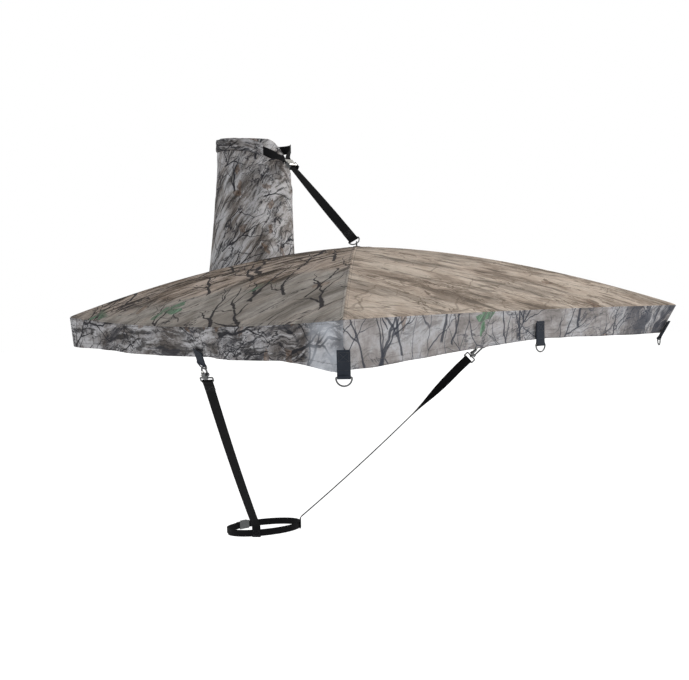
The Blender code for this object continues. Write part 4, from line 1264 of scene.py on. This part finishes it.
def make_tabs():
    diagonal = Vector((-1, -1, 0)).normalized()
    corner = Vector((*CORNERS["front_left"], 0))
    make_tab("front_left", corner + diagonal * 0.0045 - Z * 0.1045, Z, diagonal, None, "ring_front_left")
    make_tab("front_middle", Vector((0.010, -1.0600, -0.0715)), Z, -Y, None, "ring_front_middle")
    up = Vector((0.027, -0.027, 0.068)).normalized()
    outward = Vector((1, -1, 0)).normalized()
    outward = (outward - up * up.dot(outward)).normalized()
    hem = Vector((*CORNERS["front_right"], 0)) + Vector((-0.027, 0.027, -0.068))
    make_tab("front_right", hem - up * 0.014 + outward * 0.0045, up, outward, Z, "ring_front_right")
    for side, label in ((-1, "left"), (1, "right")):
        line = SideLine(side)
        make_tab(label, line.ring, -line.down, line.outward, -line.down)


BELT_RADIUS = TRUNK_RADIUS + 0.0025
SIDE_RING = Vector((-0.474, -0.4625, -0.1075))
HOOK_FROM_RING = RING_DROP + 0.0333
EYE_BAR = 0.0160


def belt_height(y):
    return BELT_Z + BELT_SLOPE * y


def belt_point(angle, radius):
    x, y = radius * math.sin(angle), -radius * math.cos(angle)
    return Vector((x, y, belt_height(y)))


class SideLine:
    """The straight line from a hooked ring down to the belt, on the left (-1) or the right (1)."""

    def __init__(self, side):
        self.side = side
        self.ring = Vector((-side * SIDE_RING.x, SIDE_RING.y, SIDE_RING.z))
        self.attach = belt_point(side * ATTACH_ANGLE, BELT_RADIUS + 0.0040)
        self.attach.z += 0.022
        self.down = (self.attach - self.ring).normalized()
        self.bar = (Y - self.down * Y.dot(self.down)).normalized()
        self.outward = self.bar.cross(-self.down)
        if self.outward.x * side < 0:
            self.outward = -self.outward
        self.tangent = Vector((math.cos(ATTACH_ANGLE), side * math.sin(ATTACH_ANGLE), 0))
        self.swivel = self.ring + self.down * HOOK_FROM_RING
        self.eye_bar = self.swivel + self.down * EYE_BAR
        across = self.tangent - self.down * self.tangent.dot(self.down)
        turn = 0 if side < 0 else math.radians(-86)
        self.eye_across = Matrix.Rotation(turn, 3, self.down) @ across.normalized()


def round_bar(start, end, radius, sides=24):
    start, end = np.array(start, float), np.array(end, float)
    return tube_mesh([start + (end - start) * k / 3 for k in range(4)], radius, sides)


def make_hook(label, line):
    place = frame_at(line.swivel, line.bar.cross(-line.down), -line.down)
    bow = [(0.0065, 0, z) for z in np.linspace(0.0060, 0.0315, 30)]
    for k in range(31):
        turn = math.pi * k / 30
        bow.append((0.00075 + 0.00575 * math.cos(turn), 0, 0.0320 + 0.00575 * math.sin(turn)))
    bow.append((-0.0050, 0, 0.0301))
    shapes = [tube_mesh(bow, 0.0023, 24), box_mesh((-0.0092, -0.0042, 0.0004), (0.0088, 0.0042, 0.0084)),
              round_bar((-0.005, 0, 0.0070), (-0.005, 0, 0.0220), 0.0042, 32),
              round_bar((0, 0, -0.0060), (0, 0, 0.0020), 0.0021),
              round_bar((0, 0, -0.0068), (0, 0, -0.0051), 0.0036)]
    holes = [round_bar((-0.005, 0, 0.0045), (-0.005, 0, 0.0230), 0.0026),
             box_mesh((-0.0110, -0.0014, 0.0092), (-0.0050, 0.0014, 0.0190))]
    cast(f"hook_{label}_casting", shapes, holes, NICKEL, place, f"hook_{label}", f"hook_{label}_body")

    thumb = (-0.005, 0, 0.0176)
    gate = [round_bar((-0.005, 0, 0.0142), (-0.005, 0, 0.0297), 0.0022),
            round_bar(thumb, (-0.0112, 0, 0.0176), 0.0010, 16),
            round_bar((-0.0102, 0, 0.0176), (-0.0125, 0, 0.0176), 0.0021)]
    cast(f"hook_{label}_bolt", gate, [], ZINC, place, f"gate_{label}", f"hook_{label}_gate",
         0.00025)

    eye_place = frame_at(line.swivel, line.eye_across, -line.down)
    half, high, low = 0.0150, -0.0026, -EYE_BAR
    corner = 0.0022
    outline = []
    for centre_x, centre_z, start in ((half - corner, high - corner, 90), (half - corner, low + corner, 0),
                                      (-half + corner, low + corner, -90),
                                      (-half + corner, high - corner, -180)):
        for k in range(9):
            turn = math.radians(start - 90 * k / 8)
            outline.append((centre_x + corner * math.cos(turn), 0, centre_z + corner * math.sin(turn)))
    cast(f"hook_{label}_swivel_eye", [tube_mesh(outline, 0.0019, 20, True),
                                      round_bar((0, 0, -0.0046), (0, 0, 0.0), 0.0050, 32)],
         [round_bar((0, 0, -0.0060), (0, 0, 0.0010), 0.0025)], NICKEL, eye_place, "canopy",
         f"hook_{label}_eye")


def make_side_strap(label, line):
    up = -line.down
    half_top = line.eye_across * WEBBING_WIDTH / 2
    outward = line.eye_across.cross(up)
    if outward.dot(line.outward) < 0:
        outward = -outward
    loop = folded_end(line.eye_bar, -up, outward, 0.0019, 0.040, 0.036, half_top)
    loop.reverse()
    start = loop[-1][0]
    lap_top = belt_point(line.side * ATTACH_ANGLE, BELT_RADIUS + 0.0022)
    lap_top.z += 0.016
    flat = (line.tangent - line.down * line.tangent.dot(line.down)).normalized()
    route = list(loop)
    rows = 140
    sag = Vector((0, 0, -0.010))
    for k in range(1, rows + 1):
        way = k / rows
        centre = start.lerp(line.attach, way) + sag * 4 * way * (1 - way)
        twist = min(way / (0.3 if line.side > 0 else 1), 1)
        twist = twist * twist * (3 - 2 * twist)
        half = line.eye_across.slerp(flat, twist) if line.side > 0 else flat
        route.append((centre, half.normalized() * WEBBING_WIDTH / 2))
    for drop in (0.012, 0.019, 0.026, 0.033, 0.040):
        route.append((lap_top - Z * drop + Z * 0.012, line.tangent * WEBBING_WIDTH / 2))
    ribbon(f"lower_strap_{label}", route, BLACK_WEB, f"strap_{label}", "black_webbing")
    normal = line.tangent.cross(Z).normalized() * (1 if line.tangent.cross(Z).dot(line.attach) > 0 else -1)
    lap = lap_top - Z * 0.016 + normal * WEBBING / 2
    top = line.eye_bar + outward * (WEBBING + 0.0002) + line.down * 0.027
    stitched(f"lower_strap_stitching_{label}",
             box_stitch(lap, Z, line.tangent, normal, 0.014, 0.0095)
             + box_stitch(top, line.down, line.eye_across, outward, 0.016, 0.0095),
             BLACK_THREAD, BOX_PITCH, BOX_LENGTH)


def make_belt():
    half = Z * BELT_WIDTH / 2
    route = []
    edge = 0.024 / BELT_RADIUS
    count = 180
    for k in range(count + 1):
        angle = -math.pi + edge + (2 * math.pi - 2 * edge) * k / count
        route.append((belt_point(angle, BELT_RADIUS), half))
    through_y = BUCKLE_BASE_Y + 0.0019
    for k in range(13):
        route.append((Vector((0.0185 - 0.037 * k / 12, through_y, belt_height(through_y))), half))
    for k in range(26):
        route.append((belt_point(-math.pi + 0.24 + 0.024 * k, BELT_RADIUS + 0.0040), half))
    ribbon("trunk_belt", route, BLACK_WEB, "belt", "black_webbing")


# --- Buckles -----------------------------------------------------------------------------------

BUCKLE_BASE_Y = TRUNK_RADIUS + 0.0013
PIN_HEIGHT = 0.0073
COLLAR_BUCKLE = Vector((0, -0.186, 0.405))
STRAP_FALL = math.radians(39.5)


def buckle_frames():
    pull = Vector((0, -math.cos(STRAP_FALL), -math.sin(STRAP_FALL)))
    normal = Vector((0, -math.sin(STRAP_FALL), math.cos(STRAP_FALL)))
    collar = Matrix((pull.cross(normal), pull, normal)).transposed().to_4x4()
    collar = Matrix.Translation(COLLAR_BUCKLE) @ collar
    behind = Vector((0, BUCKLE_BASE_Y, belt_height(BUCKLE_BASE_Y)))
    belt = Matrix.Translation(behind) @ Matrix((Z, X, Y)).transposed().to_4x4()
    return {"collar": (collar, WEBBING_WIDTH), "belt": (belt, BELT_WIDTH)}


def moved(shape, matrix):
    verts, faces = shape
    return [tuple(matrix @ Vector(vert)) for vert in verts], faces


def make_buckle(label, place, webbing_width):
    half = webbing_width / 2 + 0.0010
    wall = 0.0015
    turn = Matrix.Translation((0, 0, PIN_HEIGHT)) @ Matrix.Rotation(math.pi / 2, 4, "Y")
    body = [box_mesh((-half - wall, -0.017, -0.00075), (half + wall, 0.017, 0.00075))]
    for sign in (-1, 1):
        inner, outer = sorted((sign * half, sign * (half + wall)))
        body.append(box_mesh((inner, -0.011, -0.0005), (outer, 0.013, 0.0105)))
    cast(f"{label}_buckle_frame", body, [moved(round_bar((0, 0, -0.03), (0, 0, 0.03), 0.0021), turn)], NICKEL,
         place, "canopy", f"{label}_buckle_body", 0.00038)

    half_lever = half - 0.0006
    tilt = Matrix.Rotation(math.radians(-8), 4, "Z")
    lever = [round_bar((0, 0, -half_lever), (0, 0, half_lever), 0.0042, 40),
             moved(box_mesh((0.0012, -0.024, -half_lever), (0.0030, 0.0, half_lever)), tilt)]
    for k in range(3):
        rib = -0.0225 + 0.0028 * k
        lever.append(moved(round_bar((0.0029, rib, -half_lever * 0.82), (0.0029, rib, half_lever * 0.82),
                                     0.0007, 12), tilt))
    cast(f"{label}_buckle_cam", lever, [round_bar((0, 0, -0.03), (0, 0, 0.03), 0.0021)], ZINC, place @ turn,
         f"{label}_lever", f"{label}_buckle_lever", 0.00038)
    reach = half + wall + 0.0008
    pin = [(0, -reach), (0.0013, -reach), (0.0018, -reach + 0.0005), (0.0018, reach - 0.0005),
           (0.0013, reach), (0, reach)]
    lathe(f"{label}_buckle_rivet", pin, NICKEL, place @ turn, 28, instead_of=f"{label}_buckle_pin",
          slot="dark_nickel")


# --- Collar, suspension strap and sleeve -------------------------------------------------------

COLLAR_RADIUS = TRUNK_RADIUS + 0.0035
RUN_END = 0.1715
LEAVE_ANGLE = math.acos(COLLAR_RADIUS / RUN_END)
COLLAR_Z = SLEEVE_TOP - CASING_HEIGHT / 2
RUN_LENGTH = RUN_END * math.sin(LEAVE_ANGLE)


def collar_height(y):
    return COLLAR_Z + COLLAR_SLOPE * y


def collar_route(radius, run, rows, around=160):
    """Centres round the trunk from one front run to the other, and each one's way along its run."""
    places = []
    for side in (-1, 1):
        leaving = Vector((side * radius * math.sin(LEAVE_ANGLE), -radius * math.cos(LEAVE_ANGLE), 0))
        heading = Vector((-side * math.cos(LEAVE_ANGLE), -math.sin(LEAVE_ANGLE), 0))
        steps = [(leaving + heading * run * k / rows, run * k / rows / RUN_LENGTH)
                 for k in range(rows, 0, -1)]
        if side < 0:
            places += steps
            sweep = 2 * (math.pi - LEAVE_ANGLE)
            for k in range(around + 1):
                angle = -LEAVE_ANGLE - sweep * k / around
                places.append((Vector((radius * math.sin(angle), -radius * math.cos(angle), 0)), 0))
        else:
            places += reversed(steps)
    return places


def collar_level(centre, way):
    """The strap's height: level round the trunk, and falling along its run to the buckle."""
    if way == 0:
        return collar_height(centre.y)
    leave = collar_height(-COLLAR_RADIUS * math.cos(LEAVE_ANGLE))
    normal = Vector((0, -math.sin(STRAP_FALL), math.cos(STRAP_FALL)))
    tail = COLLAR_BUCKLE + Vector((0, math.cos(STRAP_FALL), math.sin(STRAP_FALL))) * 0.019
    goal = tail + normal * (0.0019 if centre.x < 0 else -0.0026)
    return leave + (goal.z - leave) * way ** 1.3


def make_collar():
    route = []
    for centre, way in collar_route(COLLAR_RADIUS, RUN_LENGTH - 0.003, 60):
        turn = min(max((way - 0.47) / 0.45, 0), 1)
        turn = turn * turn * (3 - 2 * turn) * math.pi / 2
        side = -1 if centre.x < 0 else 1
        route.append((Vector((centre.x, centre.y, collar_level(centre, way))),
                      (Z * math.cos(turn) - X * side * math.sin(turn)) * WEBBING_WIDTH / 2))
    ribbon("trunk_collar", route, BLACK_WEB, "collar_strap", "black_webbing")


def make_suspension():
    collar, _ = buckle_frames()["collar"]
    leave = collar @ Vector((0, 0.020, 0.0019))
    rise = (leave - EYE).normalized()
    bar_centre = EYE + rise * (RING_DROP + 0.0006)
    bar_axis = Matrix.Rotation(SUSPENSION_TWIST, 3, rise) @ X
    make_ring("apex_ring", bar_centre, bar_axis, rise, "canopy")
    outward = rise.cross(bar_axis)
    if outward.z < 0:
        outward = -outward
    half = bar_axis * WEBBING_WIDTH / 2
    route = folded_end(bar_centre, rise, outward, RING_WIRE, 0.040, 0.036, half)
    route.reverse()
    start = route[-1][0]
    rows = 90
    for k in range(1, rows + 1):
        way = k / rows
        turn = min(max((way - 0.25) / 0.75, 0), 1)
        route.append((start.lerp(leave, way), bar_axis.slerp(X, turn).normalized() * WEBBING_WIDTH / 2))
    for along in np.linspace(0.016, -0.016, 17):
        route.append((collar @ Vector((0, along, 0.0019)), X * WEBBING_WIDTH / 2))
    ribbon("apex_strap", route, BLACK_WEB, "suspension_strap", "black_webbing")
    surface = bar_centre + outward * (WEBBING + 0.0002)
    stitched("apex_strap_stitching",
             box_stitch(surface + rise * 0.026, rise, bar_axis, outward, 0.016, 0.0095), BLACK_THREAD,
             BOX_PITCH, BOX_LENGTH)


def sleeve_radius(height, angle):
    """The sleeve's inner radius. It flares towards the roof, most of all on the left behind."""
    left = np.exp(-1.8 * (1 - np.cos(angle - math.radians(-124))))
    low = np.maximum(0, 1 - np.maximum(height, 0.10) / 0.45)
    return 0.1060 + (0.006 + 0.044 * left) * low ** 1.25


def sleeve_foot(angle):
    radius = sleeve_radius(0.0, angle)
    return roof_height(radius * np.sin(angle), -radius * np.cos(angle)) + 0.0020


def sleeve_fall(angle):
    """How far the strap drags the sleeve's top down, from the front round to the right."""
    turn = np.degrees((angle + math.pi) % math.tau - math.pi)
    return 0.095 * smooth(turn, -14, 58) * (1 - smooth(turn, 70, 120))


def sleeve_top(angle):
    return SLEEVE_TOP - COLLAR_SLOPE * TRUNK_RADIUS * np.cos(angle) - sleeve_fall(angle)


def draped(angle, height):
    """How far the sleeve stands out, in metres: gathers, drag lines, and one deep fold in front."""
    turn = (np.degrees(angle) + 180) % 360 - 180
    below = sleeve_top(angle) - height
    out = 0.0012 * ripple(angle * 0.11, height, 0.06, 31)
    drag = angle * 0.11 * 0.7 + height * 0.7
    out = out + 0.0016 * ripple(drag, (angle * 0.11 - height) * 0.16, 0.020, 32) * smooth(-turn, 10, 50)
    out = out + 0.0010 * ripple(angle * 0.11, height * 0.3, 0.016, 33) * np.exp(-below / 0.09)
    line = -23 + 15 * (0.47 - height) / 0.16
    sharp = np.clip((turn - line) / 10, -1, 1)
    fold = 0.0035 * (0.5 + 0.5 * np.sin(sharp * math.pi / 2)) * bell(height - 0.40, 0.11)
    out = out + fold - 0.0015 * bell(turn - line + 3, 5) * bell(height - 0.39, 0.09)
    right = smooth(turn, -12, 18) * (1 - smooth(turn, 60, 95))
    out = out + 0.0022 * right * bell(height - 0.385, 0.05)
    return out * smooth(below, 0.030, 0.050)


def make_sleeve():
    gap = 0.012 / TRUNK_RADIUS

    def place(u, v):
        angle = math.pi + gap + (2 * math.pi - 2 * gap) * u
        foot, top = sleeve_foot(angle), sleeve_top(angle)
        height = foot + (top - foot) * v
        ends = smooth(np.minimum(u, 1 - u), 0, 0.03)
        radius = sleeve_radius(height, angle) + 0.0008 + np.maximum(draped(angle, height) * ends, -0.0002)
        return np.stack([radius * np.sin(angle), -radius * np.cos(angle), height], -1)

    def printed(u, v):
        angle = gap + (2 * math.pi - 2 * gap) * u
        return angle * 0.107, 0.10 + 0.38 * v, v

    around = 2 * math.pi * 0.112 - 0.024
    sleeve = Panel("trunk_wrap", 220, 120, place, printed, SLEEVE_PRINT, "trunk_sleeve", "roof_cloth",
                   (round(around, 3), 0.420), None, "gathered", ["collar_strap", "gore_rear"])

    route = collar_route(COLLAR_RADIUS + 0.0018, 0.060, 30, 200)[:170]
    line = np.array([(point.x, point.y, collar_level(point, way)) for point, way in reversed(route)])
    steps = np.linalg.norm(np.diff(line[:, :2], axis=0), axis=1)
    along = np.concatenate([[0], np.cumsum(steps)])

    def casing(u, v):
        distance = u * along[-1]
        x = np.interp(distance, along, line[:, 0])
        y = np.interp(distance, along, line[:, 1])
        reach = np.hypot(x, y)
        level = 2 * v - 1
        height = np.interp(distance, along, line[:, 2]) + level * (CASING_HEIGHT / 2 - 0.0003)
        tuck = smooth(np.abs(level), 0.70, 1.0)
        free = smooth(np.minimum(u, 1 - u), 0.07, 0.13)
        out = 0.0004 - 0.0026 * tuck * free
        pleat = ripple(distance + level * 0.004, level * 0.5, 0.0105, 34)
        out = out + 0.0014 * pleat * (0.45 + 0.55 * tuck) + 0.0009 * ripple(distance, level * 0.01, 0.03, 35)
        height = height + 0.0018 * ripple(distance, level * 0, 0.025, 36) * np.abs(level)
        return np.stack([x * (1 + out / reach), y * (1 + out / reach), height], -1)

    def casing_print(u, v):
        return 0.9 + u * along[-1], 0.48 + 0.034 * v, v

    band = Panel("sleeve_gathered_casing", 420, 24, casing, casing_print, CASING_PRINT, "sleeve_casing",
                 "roof_cloth", (round(float(along[-1]) * 1.1, 3), 0.042), None, "gathered",
                 ["collar_strap"])
    u = np.linspace(0.01, 0.99, 360)
    stitched("sleeve_stitching", [band.along(u, np.full_like(u, 0.07)), band.along(u, np.full_like(u, 0.93)),
                                  sleeve.along(u, np.full_like(u, 0.012))], THREAD)

    def closure(u, v):
        angle = math.pi + (u * 0.060 - 0.030) / TRUNK_RADIUS
        height = 0.0085 + (SLEEVE_TOP - CASING_HEIGHT + 0.0055 - 0.0085) * v
        radius = sleeve_radius(height, angle) + 0.0029 + 0.0003 * ripple(u * 0.06, height, 0.02, 37)
        return np.stack([radius * np.sin(angle), -radius * np.cos(angle), height], -1)

    def closure_print(u, v):
        return 0.06 * u, 0.44 * v, v

    strip = Panel("sleeve_closure_tape", 28, 90, closure, closure_print, HOOK_LOOP, "sleeve_closure",
                  "hook_and_loop", (0.060, 0.460), None, "laid", ["trunk_sleeve"], thickness=0.0011,
                  back=HOOK_LOOP)
    v = np.linspace(0.01, 0.99, 200)
    across = np.linspace(0.05, 0.95, 30)
    stitched("sleeve_closure_stitching",
             [strip.along(np.full_like(v, 0.05), v), strip.along(np.full_like(v, 0.95), v),
              strip.along(across, np.full_like(across, 0.008)),
              strip.along(across, np.full_like(across, 0.992))], BLACK_THREAD)


make_gores()
make_valances()
make_ridge_tapes()
make_poles()
make_apex()
make_tabs()
for side, label in ((-1, "left"), (1, "right")):
    side_line = SideLine(side)
    make_hook(label, side_line)
    make_side_strap(label, side_line)
make_belt()
make_collar()
make_suspension()
make_sleeve()
for buckle, (spot, width) in buckle_frames().items():
    make_buckle(buckle, spot, width)
